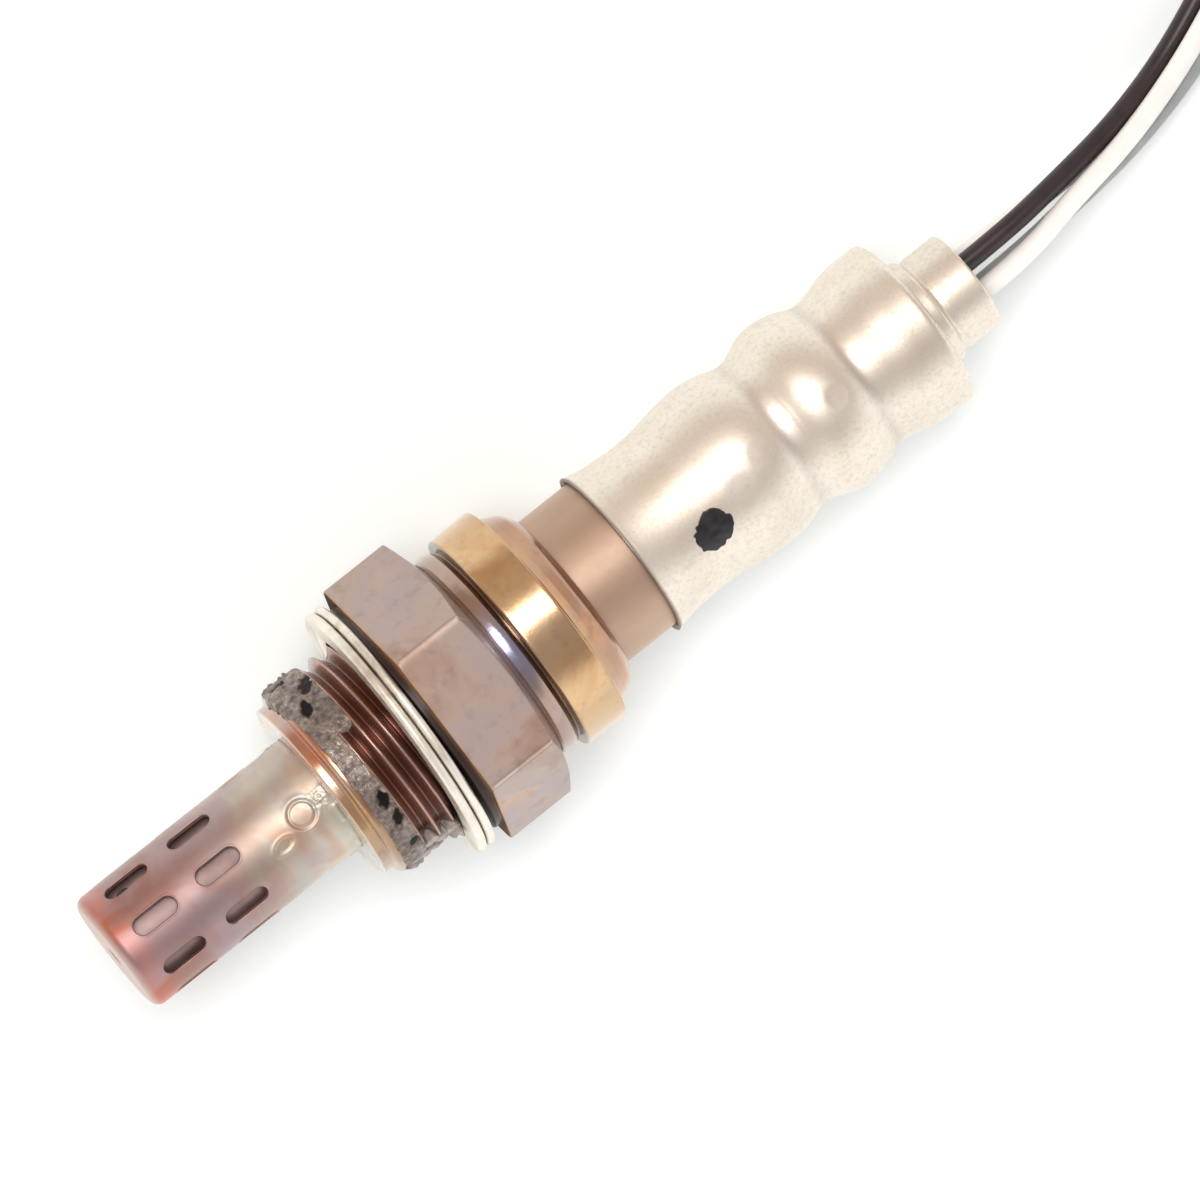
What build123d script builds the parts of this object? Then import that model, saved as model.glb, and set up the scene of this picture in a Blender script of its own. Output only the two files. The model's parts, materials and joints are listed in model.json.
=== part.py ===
from build123d import *
import math
import os

# Heated oxygen sensor, lying on its side with its lead put away in a tied coil.
# Millimetres. The sensor is turned about its own axis first, with +X towards the
# sensing tip and X = 0 on the sealing face of the crush gasket. It is then tipped
# about that point until the gasket and the cover's rear edge touch one floor.
# "t" below means the distance behind the sealing face, so X = -t.

# ---- driving dimensions -------------------------------------------------------
# fits
slide_gap = 0.05            # radial gap between pieces that were pressed or crimped
seat_gap = 0.05             # gap where two turned faces stop on each other

# M18 threaded shell and its 22 mm hexagon
thread_radius = 9.0
thread_length = 6.5
thread_lead_in = 0.4
relief_radius = 8.3
lip_radius = 8.25
lip_length = 0.96
washer_radius = 10.9
washer_height = 0.9
hex_across_flats = 22.0
hex_height = 7.25
hex_corner_height = 6.1
hex_cone_radius = 9.2
hex_crown = 0.1
band_length = 1.75
band_radius = 9.7
groove_length = 0.25
groove_radius = 9.2
collar_radius = 10.3
collar_length = 4.05
collar_chamfer = 0.22
lip_root_radius = 9.3
lip_run = 2.35

# crush gasket, folded from one strip
gasket_bore_gap = 0.15
gasket_radius = 11.75
gasket_thickness = 1.6
gasket_slit = 0.12
gasket_web = 1.05

# protection tubes at the tip
shield_radius = 5.35
shield_wall = 0.4
shield_reach = 20.94
shield_corner = 0.95
shield_flange = 1.25
inner_shield_radius = 4.6
inner_shield_wall = 0.35
inner_shield_setback = 1.05
slot_length = 4.05
slot_width = 1.6
slot_columns = 8
slot_first_angle = -16.6
slot_row_places = (4.18, 10.5)
vent_radius = 0.6
vent_count = 6
end_hole_radius = 0.8
dimple_radius = 1.35
dimple_depth = 0.2
dimple_place = 18.3
dimple_angle = -8.0

# ceramic element, its packing and the heater
front_bore_radius = 4.2
rear_bore_radius = 6.2
upper_bore_radius = 8.4
seat_depth = 0.2
seat_ring_thickness = 0.4
element_tip_gap = 1.5
element_tip_radius = 2.5
element_root_radius = 3.3
element_flange_height = 2.8
element_shoulder_height = 1.5
element_neck_radius = 3.9
element_bore_radius = 1.6
element_end_wall = 1.5
element_tail = 21.5
talc_height = 6.8
insulator_spigot = 0.8
insulator_head = 2.9
packing_wire_radius = 0.6
heater_radius = 1.25
heater_tip_gap = 1.3
heater_tail = 24.5

# sleeve and crimped cover
sleeve_radius = 7.1
sleeve_wall = 0.4
sleeve_shown = 5.2
sleeve_overlap = 6.5
cover_wall = 0.4
cover_front_radius = 7.6
valley_place, valley_radius = 5.0, 7.12
bulge_1_place, bulge_1_radius = 11.6, 7.74
neck_radius = 6.9
neck_1_place = 15.3
bulge_2_place, bulge_2_radius = 19.4, 7.98
neck_2_place = 23.05
bulge_3_place, bulge_3_radius = 28.1, 7.74
cover_corner = 1.2
cover_length = 30.65
collar_root_radius = 4.85
collar_root_length = 1.55
exit_radius = 4.43
exit_length = 5.3
exit_rounding = 0.3

# terminal holder, grommet and ferrules
holder_radius = 5.9
holder_front = 3.25
holder_clip_wall = 0.27
holder_clip_length = 2.5
grommet_front = 14.4
grommet_recess = 0.45
ferrule_radius = 1.12
ferrule_length = 4.0
ferrule_back = 0.8
blade_width = 1.6
blade_thickness = 0.25
contact_wall = 0.27
contact_strip_width = 0.8
contact_setback = 0.3
contact_split = 1.0
inner_grip_length = 8.0
outer_grip_length = 4.0
blade_lift = 0.15

# wires, coil and tie
wire_diameter = 1.75
wire_half_pitch = 1.35
wire_in_ferrule = 2.6
bundle_radius = 1.27
coil_centre = (-105.8, 1.45)
coil_radius = 12.5
coil_section_width = 4.4
coil_layer_height = 4.35
coil_bevel = 1.1
coil_enter_angle = 24.0
coil_leave_angle = 20.0
coil_stub = 11.5
coil_top_arc = 110.0
tie_width = 6.0
tie_thickness = 0.3
tie_angle = 150.0

# plug at the end of the lead
plug_entry = (-142.5, -3.0)
plug_length = 21.5
plug_width = 15.0
plug_height = 12.4
plug_rounding = 1.6
plug_half_pitch = 2.0
plug_cavity = 2.3
seal_width = 9.4
seal_length = 4.5
seal_recess = 0.6
lock_length = 2.2
lock_width = 10.4
lock_height = 8.4
pin_width = 1.9
pin_wall = 0.35
latch_size = (9.0, 5.0, 1.6)
rib_size = (15.0, 0.8, 1.4)

# ---- places along the axis, worked out from the sizes -------------------------
shell_front_x = thread_length + lip_length
tip_x = shell_front_x + shield_reach
hex_front_x = -(gasket_thickness + washer_height)
hex_rear_x = hex_front_x - hex_height
band_rear_x = hex_rear_x - band_length
collar_front_x = band_rear_x - groove_length
collar_rear_x = collar_front_x - collar_length
shell_rear_x = collar_rear_x - lip_run
cover_front_x = shell_rear_x - sleeve_shown
cover_rear_x = cover_front_x - cover_length
exit_x = cover_rear_x - exit_length
wire_radius = wire_diameter / 2
wire_hole_radius = wire_radius + slide_gap / 2

# the flanges of both protection tubes are gripped behind the shell's front lip
flange_front_x = thread_length - 0.6
outer_flange_x = flange_front_x - shield_wall
inner_flange_x = outer_flange_x - inner_shield_wall
flange_radius = shield_radius + shield_flange

# stack behind the element's seat
seat_x = -seat_depth
element_flange_x = seat_x - seat_ring_thickness
element_shoulder_x = element_flange_x - element_flange_height
element_neck_x = element_shoulder_x - element_shoulder_height
talc_rear_x = element_shoulder_x - talc_height
insulator_head_x = talc_rear_x - insulator_spigot
insulator_rear_x = insulator_head_x - insulator_head
sleeve_flange_rear_x = insulator_rear_x - sleeve_wall
packing_x = sleeve_flange_rear_x - packing_wire_radius
upper_bore_x = insulator_head_x + 0.4
lip_under_x = packing_x - packing_wire_radius - seat_gap

# ---- how the sensor lies ------------------------------------------------------
# The floor touches the gasket's rear lobe and the cover's rear corner: it is the
# common tangent of these two arcs, each a centre (x, radius) and a rounding.
lobe_radius = (gasket_thickness - gasket_slit) / 4
lobe_centre = (lobe_radius - gasket_thickness, gasket_radius - lobe_radius)
corner_centre = (cover_rear_x + cover_corner, bulge_3_radius - cover_corner)
span_x = lobe_centre[0] - corner_centre[0]
span_r = lobe_centre[1] - corner_centre[1]
rest_tilt = math.atan2(span_r, span_x) - math.asin(
    (cover_corner - lobe_radius) / math.hypot(span_x, span_r))
floor_z = -(lobe_centre[1] * math.cos(rest_tilt)
            - lobe_centre[0] * math.sin(rest_tilt) + lobe_radius)
laid = Rot(0, -math.degrees(rest_tilt), 0)


def revolved(*outline):
    """A turned piece from straight-sided outline points (x, radius)."""
    return revolve(make_face(Polyline(*outline, close=True)), Axis.X)


def tube(radius, bore, x_front, x_rear):
    return revolved((x_front, bore), (x_front, radius), (x_rear, radius), (x_rear, bore))


def rod(radius, x_front, x_rear, y=0.0, z=0.0):
    drawn = Plane((x_rear, y, z), x_dir=(0, 1, 0), z_dir=(1, 0, 0))
    return extrude(drawn * Circle(radius), x_front - x_rear)


def block(x, y, z):
    """A box from three (low, high) pairs."""
    size = [high - low for low, high in (x, y, z)]
    middle = [(high + low) / 2 for low, high in (x, y, z)]
    return Pos(*middle) * Box(*size)


def around(angle):
    """Turns what was drawn at +Z to the angle from +Z towards +Y."""
    return Rot(-angle, 0, 0)


# ---- steel shell, gasket and protection tubes ---------------------------------
def steel_shell():
    """Thread, washer face, hexagon, crimp band and rolled lip, all one piece."""
    lip_bore = shield_radius + slide_gap
    sleeve_bore = sleeve_radius + slide_gap
    with BuildSketch() as section:
        with BuildLine():
            Polyline(
                (collar_rear_x, lip_root_radius),
                (collar_rear_x, collar_radius - collar_chamfer),
                (collar_rear_x + collar_chamfer, collar_radius),
                (collar_front_x - collar_chamfer, collar_radius),
                (collar_front_x, collar_radius - collar_chamfer),
                (collar_front_x, groove_radius),
                (band_rear_x, groove_radius),
                (band_rear_x, band_radius - 0.25))
            ThreePointArc(
                (band_rear_x, band_radius - 0.25),
                ((band_rear_x + hex_rear_x) / 2, band_radius),
                (hex_rear_x, band_radius - 0.3))
            Polyline(
                (hex_rear_x, band_radius - 0.3),
                (hex_rear_x, hex_cone_radius),
                (hex_front_x, hex_cone_radius),
                (hex_front_x, washer_radius),
                (-gasket_thickness, washer_radius),
                (-gasket_thickness, relief_radius),
                (0, relief_radius),
                (0, thread_radius),
                (thread_length - thread_lead_in, thread_radius),
                (thread_length, thread_radius - thread_lead_in),
                (thread_length, lip_radius),
                (shell_front_x - 0.15, lip_radius),
                (shell_front_x, lip_radius - 0.15),
                (shell_front_x, lip_bore),
                (flange_front_x, lip_bore),
                (flange_front_x, flange_radius + slide_gap),
                (inner_flange_x, flange_radius + slide_gap),
                (inner_flange_x, front_bore_radius),
                (seat_x, front_bore_radius),
                (seat_x, rear_bore_radius),
                (upper_bore_x, rear_bore_radius),
                (upper_bore_x, upper_bore_radius),
                (lip_under_x, upper_bore_radius),
                (lip_under_x - 0.5, sleeve_bore),
                (shell_rear_x, sleeve_bore),
                (shell_rear_x, sleeve_bore + 0.25))
            ThreePointArc(
                (shell_rear_x, sleeve_bore + 0.25),
                (shell_rear_x + 0.3 * lip_run, lip_root_radius - 0.8),
                (collar_rear_x, lip_root_radius))
        make_face()
    shell = revolve(section.sketch, Axis.X)
    # hexagon, its rear corners taken off by a slightly crowned turned chamfer
    corner_radius = hex_across_flats / math.sqrt(3)
    drawn = Plane((hex_rear_x, 0, 0), x_dir=(0, 1, 0), z_dir=(1, 0, 0))
    hexagon = extrude(drawn * RegularPolygon(corner_radius, 6), hex_height)
    chamfer_x = hex_front_x - hex_corner_height
    crown = ((chamfer_x + hex_rear_x) / 2 - hex_crown, (corner_radius + hex_cone_radius) / 2 + hex_crown)
    with BuildSketch() as section:
        with BuildLine():
            Polyline((hex_rear_x, hex_cone_radius), (hex_rear_x, 0), (hex_front_x, 0),
                     (hex_front_x, corner_radius + hex_crown), (chamfer_x, corner_radius + hex_crown))
            ThreePointArc((chamfer_x, corner_radius + hex_crown), crown, (hex_rear_x, hex_cone_radius))
        make_face()
    blank = revolve(section.sketch, Axis.X) - rod(hex_cone_radius - 1, hex_front_x, hex_rear_x)
    return shell + (hexagon & blank)


def gasket_ring():
    """A ring folded from strip: two rounded rims with an open slit between."""
    bore = thread_radius + gasket_bore_gap
    rim = gasket_radius - lobe_radius
    web = bore + gasket_web
    front, rear = -2 * lobe_radius, -2 * lobe_radius - gasket_slit
    with BuildSketch() as section:
        with BuildLine():
            Polyline((-gasket_thickness, rim), (-gasket_thickness, bore), (0, bore), (0, rim))
            ThreePointArc((0, rim), (-lobe_radius, gasket_radius), (front, rim))
            Polyline((front, rim), (front, web), (rear, web), (rear, rim))
            ThreePointArc((rear, rim), (rear - lobe_radius, gasket_radius),
                          (-gasket_thickness, rim))
        make_face()
    return revolve(section.sketch, Axis.X)


def closed_tube(radius, wall, x_end, x_flange, flange_thickness, corner):
    """A drawn cup with a rounded closed end and a flat flange at its mouth."""
    with BuildSketch() as section:
        with BuildLine():
            Polyline((x_end, 0), (x_end, radius - corner))
            RadiusArc((x_end, radius - corner), (x_end - corner, radius), -corner)
            Polyline(
                (x_end - corner, radius),
                (x_flange + flange_thickness, radius),
                (x_flange + flange_thickness, flange_radius),
                (x_flange, flange_radius),
                (x_flange, radius - wall),
                (x_end - corner, radius - wall))
            RadiusArc((x_end - corner, radius - wall), (x_end - wall, radius - corner),
                      corner - wall)
            Polyline((x_end - wall, radius - corner), (x_end - wall, 0), (x_end, 0))
        make_face()
    return revolve(section.sketch, Axis.X)


def outer_shield():
    """Outer protection tube: slots in two rows, end hole, one staking dimple."""
    shield = closed_tube(shield_radius, shield_wall, tip_x, outer_flange_x,
                         shield_wall, shield_corner)
    depth = shield_radius - inner_shield_radius
    for place in slot_row_places:
        drawn = Plane((tip_x - place, 0, inner_shield_radius + 0.1), x_dir=(1, 0, 0))
        slot = extrude(drawn * SlotOverall(slot_length, slot_width), depth + 1)
        for column in range(slot_columns):
            turn = slot_first_angle + column * 360 / slot_columns
            shield -= around(turn) * slot
    shield -= rod(end_hole_radius, tip_x + 1, tip_x - 1)
    ball = (dimple_radius ** 2 + dimple_depth ** 2) / (2 * dimple_depth)
    dimple = Pos(tip_x - dimple_place, 0, shield_radius - dimple_depth + ball) * Sphere(ball)
    return shield - around(dimple_angle) * dimple


def inner_shield():
    """Inner protection tube, with small round vents near its root and its end."""
    end_x = tip_x - inner_shield_setback
    shield = closed_tube(inner_shield_radius, inner_shield_wall, end_x, inner_flange_x,
                         inner_shield_wall, shield_corner)
    for x, start in ((end_x - 2.4, 0), (inner_flange_x + 4.0, 30)):
        drawn = Plane((x, 0, 0))
        vent = extrude(drawn * Circle(vent_radius), inner_shield_radius + 1)
        for number in range(vent_count):
            shield -= around(start + number * 360 / vent_count) * vent
    return shield


# ---- element, packing and heater ----------------------------------------------
def seat_ring():
    return tube(rear_bore_radius - slide_gap, front_bore_radius + slide_gap,
                seat_x, element_flange_x)


def sensing_element():
    """The ceramic thimble: domed tip, tapered body, flange, neck and deep bore."""
    end_x = tip_x - inner_shield_setback - inner_shield_wall - element_tip_gap
    dome_x = end_x - element_tip_radius
    half = math.sqrt(0.5)
    with BuildSketch() as section:
        with BuildLine():
            ThreePointArc(
                (end_x, 0),
                (dome_x + half * element_tip_radius, half * element_tip_radius),
                (dome_x, element_tip_radius))
            Polyline(
                (dome_x, element_tip_radius),
                (element_flange_x, element_root_radius),
                (element_flange_x, rear_bore_radius - slide_gap),
                (element_shoulder_x, rear_bore_radius - slide_gap),
                (element_neck_x, element_neck_radius),
                (-element_tail, element_neck_radius),
                (-element_tail, element_bore_radius),
                (end_x - element_end_wall, element_bore_radius),
                (end_x - element_end_wall, 0),
                (end_x, 0))
        make_face()
    return revolve(section.sketch, Axis.X)


def talc_seal():
    """Pressed powder ring on the element's shoulder."""
    inner, outer = element_neck_radius + slide_gap, rear_bore_radius - slide_gap / 2
    return revolved(
        (element_shoulder_x - slide_gap, outer), (talc_rear_x, outer),
        (talc_rear_x, inner), (element_neck_x - slide_gap, inner))


def support_insulator():
    inner = element_neck_radius + slide_gap
    return revolved(
        (talc_rear_x, inner), (talc_rear_x, rear_bore_radius - slide_gap),
        (insulator_head_x, rear_bore_radius - slide_gap),
        (insulator_head_x, upper_bore_radius - slide_gap),
        (insulator_rear_x, upper_bore_radius - slide_gap), (insulator_rear_x, inner))


def packing_ring():
    """Wire ring between the sleeve's flange and the rolled lip."""
    middle = (sleeve_radius + upper_bore_radius) / 2
    return revolve(Pos(packing_x, middle) * Circle(packing_wire_radius), Axis.X)


def heater_front_x():
    end_x = tip_x - inner_shield_setback - inner_shield_wall - element_tip_gap
    return end_x - element_end_wall - heater_tip_gap


def inner_contact():
    """Split tube that grips the heater inside the element, with an arm and a
    strip behind."""
    bore = heater_radius + slide_gap / 2
    rear_x = -element_tail - contact_setback
    grip = tube(bore + contact_wall, bore, rear_x + inner_grip_length, rear_x - blade_thickness)
    grip -= block((rear_x - 1, rear_x + inner_grip_length + 1), (0, 2 * heater_radius),
                  (-contact_split / 4, contact_split / 4))
    z = wire_half_pitch + blade_lift
    sides = (-wire_half_pitch, contact_strip_width - wire_half_pitch)
    arm = block((rear_x - blade_thickness, rear_x), sides, (bore * 0.75, z))
    arm -= rod(bore, rear_x + 1, rear_x - 2)
    strip = block((strip_rear_x, rear_x), sides, (z - blade_thickness, z))
    return grip + arm + strip


def outer_contact():
    """Split clip round the element's neck, with an arm and a strip behind."""
    bore = element_neck_radius + slide_gap / 2
    rear_x = -element_tail - contact_setback
    clip = tube(bore + contact_wall, bore, rear_x + outer_grip_length, rear_x - blade_thickness)
    clip -= block((rear_x - 1, rear_x + outer_grip_length + 1),
                  (-contact_split, contact_split), (bore / 2, bore + 1))
    sides = (wire_half_pitch - contact_strip_width / 2,
             wire_half_pitch + contact_strip_width / 2)
    z = -(wire_half_pitch + blade_lift)
    arm = block((rear_x - blade_thickness, rear_x), sides, (-bore - contact_wall / 3, z))
    strip = block((strip_rear_x, rear_x), sides, (z, z + blade_thickness))
    return clip + arm + strip


# ---- sleeve, cover and what the cover grips -----------------------------------
def cover_point(place, radius, inset=0.0):
    return (cover_front_x - place, radius - inset)


def crimped_line(inset=0.0):
    """The cover's outline between its front edge and its rear bulge, as arcs.
    Each bulge falls in one arc to a creased neck, and rises again in two arcs
    that are level at both ends. Drawn inside a BuildLine."""
    def fall(start, end):
        # one arc, level at its start
        TangentArc(start, end, tangent=(-1, 0))

    def rise(start, end):
        middle = ((start[0] + end[0]) / 2, (start[1] + end[1]) / 2)
        TangentArc(start, middle, tangent=(-1, 0))
        TangentArc(end, middle, tangent=(1, 0))

    front = cover_point(0, cover_front_radius, inset)
    valley = cover_point(valley_place, valley_radius, inset)
    bulge_1 = cover_point(bulge_1_place, bulge_1_radius, inset)
    neck_1 = cover_point(neck_1_place, neck_radius, inset)
    bulge_2 = cover_point(bulge_2_place, bulge_2_radius, inset)
    neck_2 = cover_point(neck_2_place, neck_radius, inset)
    bulge_3 = cover_point(bulge_3_place, bulge_3_radius, inset)
    TangentArc(valley, front, tangent=(1, 0))
    rise(valley, bulge_1)
    fall(bulge_1, neck_1)
    rise(neck_1, bulge_2)
    fall(bulge_2, neck_2)
    rise(neck_2, bulge_3)


def upper_cover():
    """Thin drawn cover with two crimped necks, a shoulder and an exit collar."""
    corner_x = cover_rear_x + cover_corner
    root_x = cover_rear_x - collar_root_length
    exit_bore = exit_radius - cover_wall
    inner_shoulder_x = cover_rear_x + cover_wall
    with BuildSketch() as section:
        with BuildLine():
            crimped_line()
            Line(cover_point(bulge_3_place, bulge_3_radius), (corner_x, bulge_3_radius))
            RadiusArc((corner_x, bulge_3_radius),
                      (cover_rear_x, bulge_3_radius - cover_corner), -cover_corner)
            Polyline(
                (cover_rear_x, bulge_3_radius - cover_corner),
                (cover_rear_x, collar_root_radius),
                (root_x, collar_root_radius - 0.12),
                (root_x - 0.2, exit_radius - 0.06),
                (root_x - 0.45, exit_radius),
                (exit_x + exit_rounding, exit_radius),
                (exit_x, exit_radius - exit_rounding),
                (exit_x, exit_bore),
                (root_x + cover_wall, exit_bore),
                (root_x + cover_wall, exit_bore + 0.3),
                (inner_shoulder_x, exit_bore + 0.3),
                (inner_shoulder_x, bulge_3_radius - cover_corner))
            RadiusArc((inner_shoulder_x, bulge_3_radius - cover_corner),
                      (corner_x, bulge_3_radius - cover_wall), cover_corner - cover_wall)
            Line((corner_x, bulge_3_radius - cover_wall),
                 cover_point(bulge_3_place, bulge_3_radius, cover_wall))
            crimped_line(cover_wall)
            Line(cover_point(0, cover_front_radius, cover_wall),
                 cover_point(0, cover_front_radius))
        make_face()
    return revolve(section.sketch, Axis.X)


def lower_sleeve():
    """Flanged tube from the shell's lip into the cover, necked by the crimp."""
    necked = valley_radius - cover_wall - slide_gap
    rear_x = cover_front_x - sleeve_overlap
    with BuildSketch() as section:
        with BuildLine():
            Polyline(
                (cover_front_x, sleeve_radius),
                (sleeve_flange_rear_x, sleeve_radius),
                (sleeve_flange_rear_x, upper_bore_radius - slide_gap),
                (insulator_rear_x, upper_bore_radius - slide_gap),
                (insulator_rear_x, sleeve_radius - sleeve_wall),
                (cover_front_x, sleeve_radius - sleeve_wall))
            TangentArc((cover_front_x - valley_place, necked - sleeve_wall),
                       (cover_front_x, sleeve_radius - sleeve_wall), tangent=(1, 0))
            Polyline(
                (cover_front_x - valley_place, necked - sleeve_wall),
                (rear_x, necked - sleeve_wall),
                (rear_x, necked),
                (cover_front_x - valley_place, necked))
            TangentArc((cover_front_x - valley_place, necked),
                       (cover_front_x, sleeve_radius), tangent=(1, 0))
        make_face()
    return revolve(section.sketch, Axis.X)


# the four wires, seen from behind: sides of +Y and +Z
wires = {
    "black": (-1, 1),
    "white_1": (1, 1),
    "grey": (1, -1),
    "white_2": (-1, -1),
}
grommet_front_x = cover_front_x - grommet_front
holder_front_x = cover_front_x - holder_front
ferrule_rear_x = grommet_front_x + ferrule_back
ferrule_front_x = ferrule_rear_x + ferrule_length
strip_rear_x = holder_front_x + 0.6
wire_inner_x = ferrule_rear_x + wire_in_ferrule


def wire_places():
    return [(sy * wire_half_pitch, sz * wire_half_pitch) for sy, sz in wires.values()]


def terminal_holder():
    """Ceramic block that keeps the four ferrules apart."""
    holder = rod(holder_radius, holder_front_x, grommet_front_x)
    for y, z in wire_places():
        holder -= rod(ferrule_radius + slide_gap, holder_front_x + 1, grommet_front_x - 1, y, z)
    return holder


def holder_clip():
    """Split spring ring that centres the holder inside the necked sleeve."""
    front = holder_front_x - 0.4
    bore = holder_radius + slide_gap / 2
    ring = tube(bore + holder_clip_wall, bore, front, front - holder_clip_length)
    return ring - block((front - 9, front + 9), (-0.8, 0.8), (3, 9))


def grommet():
    """Rubber plug under both necks, with a nose that fills the exit collar."""
    body = neck_radius - cover_wall - slide_gap
    nose = exit_radius - cover_wall - slide_gap
    shoulder_x = cover_rear_x + cover_wall + seat_gap
    plug = revolved(
        (grommet_front_x, 0), (grommet_front_x, body), (shoulder_x, body),
        (shoulder_x, nose), (exit_x + grommet_recess, nose), (exit_x + grommet_recess, 0))
    for y, z in wire_places():
        plug -= rod(wire_hole_radius, grommet_front_x + 1, exit_x - 1, y, z)
    return plug


def ferrule(name):
    """Crimp barrel on a wire's end, closed in front, with a flat blade."""
    side_y, side_z = wires[name]
    y, z = side_y * wire_half_pitch, side_z * wire_half_pitch
    barrel = rod(ferrule_radius, ferrule_front_x, ferrule_rear_x, y, z)
    barrel -= rod(wire_hole_radius, ferrule_front_x - 0.6, ferrule_rear_x - 1, y, z)
    if name.startswith("white"):
        # the heater's pair reaches forward to the pads on the heater rod
        low, high = wire_half_pitch - blade_thickness, wire_half_pitch
        front = -heater_tail + 0.9
        middle = side_y * (heater_radius + 0.1)
    else:
        low = wire_half_pitch + blade_lift
        high = low + blade_thickness
        front = strip_rear_x + 0.9
        middle = y
    edges = sorted((side_z * low, side_z * high))
    half = blade_width / 2 if middle == y else 0.6
    return barrel + block((ferrule_front_x - 0.3, front), (middle - half, middle + half), edges)


# ---- wires, coil and tie ------------------------------------------------------
def compass(angle):
    """Unit heading in plan, as degrees turned from -X towards -Y."""
    return Vector(-math.cos(math.radians(angle)), -math.sin(math.radians(angle)), 0)


def coil_gate(heading, layer):
    """The flat face where the lead runs into the coil, or out of it: its middle,
    and the heading's right-hand side. The lead turns clockwise, seen from above."""
    right = Vector(heading.Y, -heading.X, 0)
    touch = Vector(*coil_centre, 0) - right * coil_radius
    height = floor_z + (layer + 0.5) * coil_layer_height
    return touch + Vector(0, 0, height), right


def bundle_offset(name, right):
    """Each wire's place in the touching bundle, a square stood on its corner."""
    side_y, side_z = wires[name]
    if side_y != side_z:
        return right * (bundle_radius * side_y)
    return Vector(0, 0, bundle_radius * side_z)


# hand-chosen middles of each wire's free stretch, from the exit to the coil
free_points = {
    "black": [(-69.5, -1.70, -5.15), (-76.5, -2.20, -7.30)],
    "white_1": [(-69.5, 0.20, -4.65), (-76.5, -0.60, -6.40)],
    "grey": [(-69.5, 0.75, -6.55), (-76.5, 0.30, -8.00)],
    "white_2": [(-69.5, -1.15, -7.05), (-76.5, -1.15, -9.10)],
}
exit_run = 4.5
gate_run = 7.0
tail_run = 6.8


def cord_tube(points, label):
    """A tube along straight runs joined by arcs as large as the runs allow."""
    points = [Vector(*p) for p in points]
    radii = []
    for before, here, after in zip(points, points[1:], points[2:]):
        turn = math.radians((here - before).get_angle(after - here))
        shorter = min((here - before).length, (after - here).length)
        radii.append(0.45 * shorter / math.tan(turn / 2))
    path = FilletPolyline(*points, radius=radii)
    drawn = Plane(points[0], z_dir=points[1] - points[0]) * Circle(wire_radius)
    swept = sweep(drawn, path=path)
    share = swept.volume / (math.pi * wire_radius ** 2 * path.length)
    print(label, "radii", [round(r, 1) for r in radii],
          "length", round(path.length, 2), "volume share", round(share, 4))
    return swept


def wire(name):
    """From its ferrule straight through the grommet, then free to the coil."""
    side_y, side_z = wires[name]
    y, z = side_y * wire_half_pitch, side_z * wire_half_pitch
    hidden = laid * rod(wire_radius, wire_inner_x, exit_x, y, z)
    start = laid * Pos(exit_x, y, z)
    away = laid * Pos(exit_x - exit_run, y, z)
    heading = compass(coil_enter_angle)
    touch, right = coil_gate(heading, 0)
    gate = touch - heading * coil_stub + bundle_offset(name, right)
    points = [start.position, away.position, *free_points[name], gate - heading * gate_run, gate]
    return hidden + cord_tube(points, "wire_" + name)


def wire_tail(name):
    """From the coil's top layer to the plug, and through its seal."""
    side_y, side_z = wires[name]
    heading = compass(-coil_leave_angle)
    touch, right = coil_gate(heading, 2)
    gate = touch + heading * coil_stub + bundle_offset(name, right)
    entry = Vector(plug_entry[0], plug_entry[1] + side_y * plug_half_pitch,
                   floor_z + plug_height / 2 + side_z * plug_half_pitch)
    points = [gate, gate + heading * tail_run, entry + Vector(tail_run, 0, 0), entry]
    hidden = rod(wire_radius, entry.X, plug_wire_end_x, entry.Y, entry.Z)
    return hidden + cord_tube(points, "wire_" + name + "_tail")


def coil_section(inset, layers):
    """The bevelled section of a stack of layers, standing on the floor."""
    section = Rectangle(coil_section_width - 2 * inset, layers * coil_layer_height - 2 * inset)
    section = chamfer(section.vertices(), coil_bevel - inset)
    return Plane.XZ * Pos(coil_radius, floor_z + layers * coil_layer_height / 2) * section


def coil_ring(inset):
    """Two turns of the bundle, one above the other, as one ring."""
    return Pos(*coil_centre, 0) * revolve(coil_section(inset, 2), Axis.Z)


def coil_top():
    """The start of a third turn, on the other two, up to where the lead leaves."""
    arc = revolve(coil_section(0, 3), Axis.Z, revolution_arc=coil_top_arc)
    return Pos(*coil_centre, 0) * Rot(0, 0, -(90 + coil_leave_angle)) * arc


def tie_sector():
    """The wedge of the ring that the tie is wrapped round."""
    angle = math.radians(tie_angle)
    middle = (coil_centre[0] + coil_radius * math.cos(angle),
              coil_centre[1] + coil_radius * math.sin(angle),
              floor_z + coil_layer_height)
    size = (3 * coil_section_width, tie_width, 4 * coil_layer_height)
    return Pos(*middle) * Rot(0, 0, tie_angle) * Box(*size)


def lead_coil():
    """The coil's outer shape, with a straight stub where the lead enters below
    and where it leaves on top, and a shallow waist under the tie."""
    coil = coil_ring(0) + coil_top() - coil_tie()
    for angle, layer, way in ((coil_enter_angle, 0, -1), (-coil_leave_angle, 2, 1)):
        heading = compass(angle)
        touch, right = coil_gate(heading, layer)
        drawn = Plane(touch, x_dir=right, z_dir=heading * way)
        size = coil_section_width, coil_layer_height
        coil += extrude(drawn * Rectangle(*size), coil_stub)
    return coil


def coil_tie():
    return (coil_ring(0) - coil_ring(tie_thickness)) & tie_sector()


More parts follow.
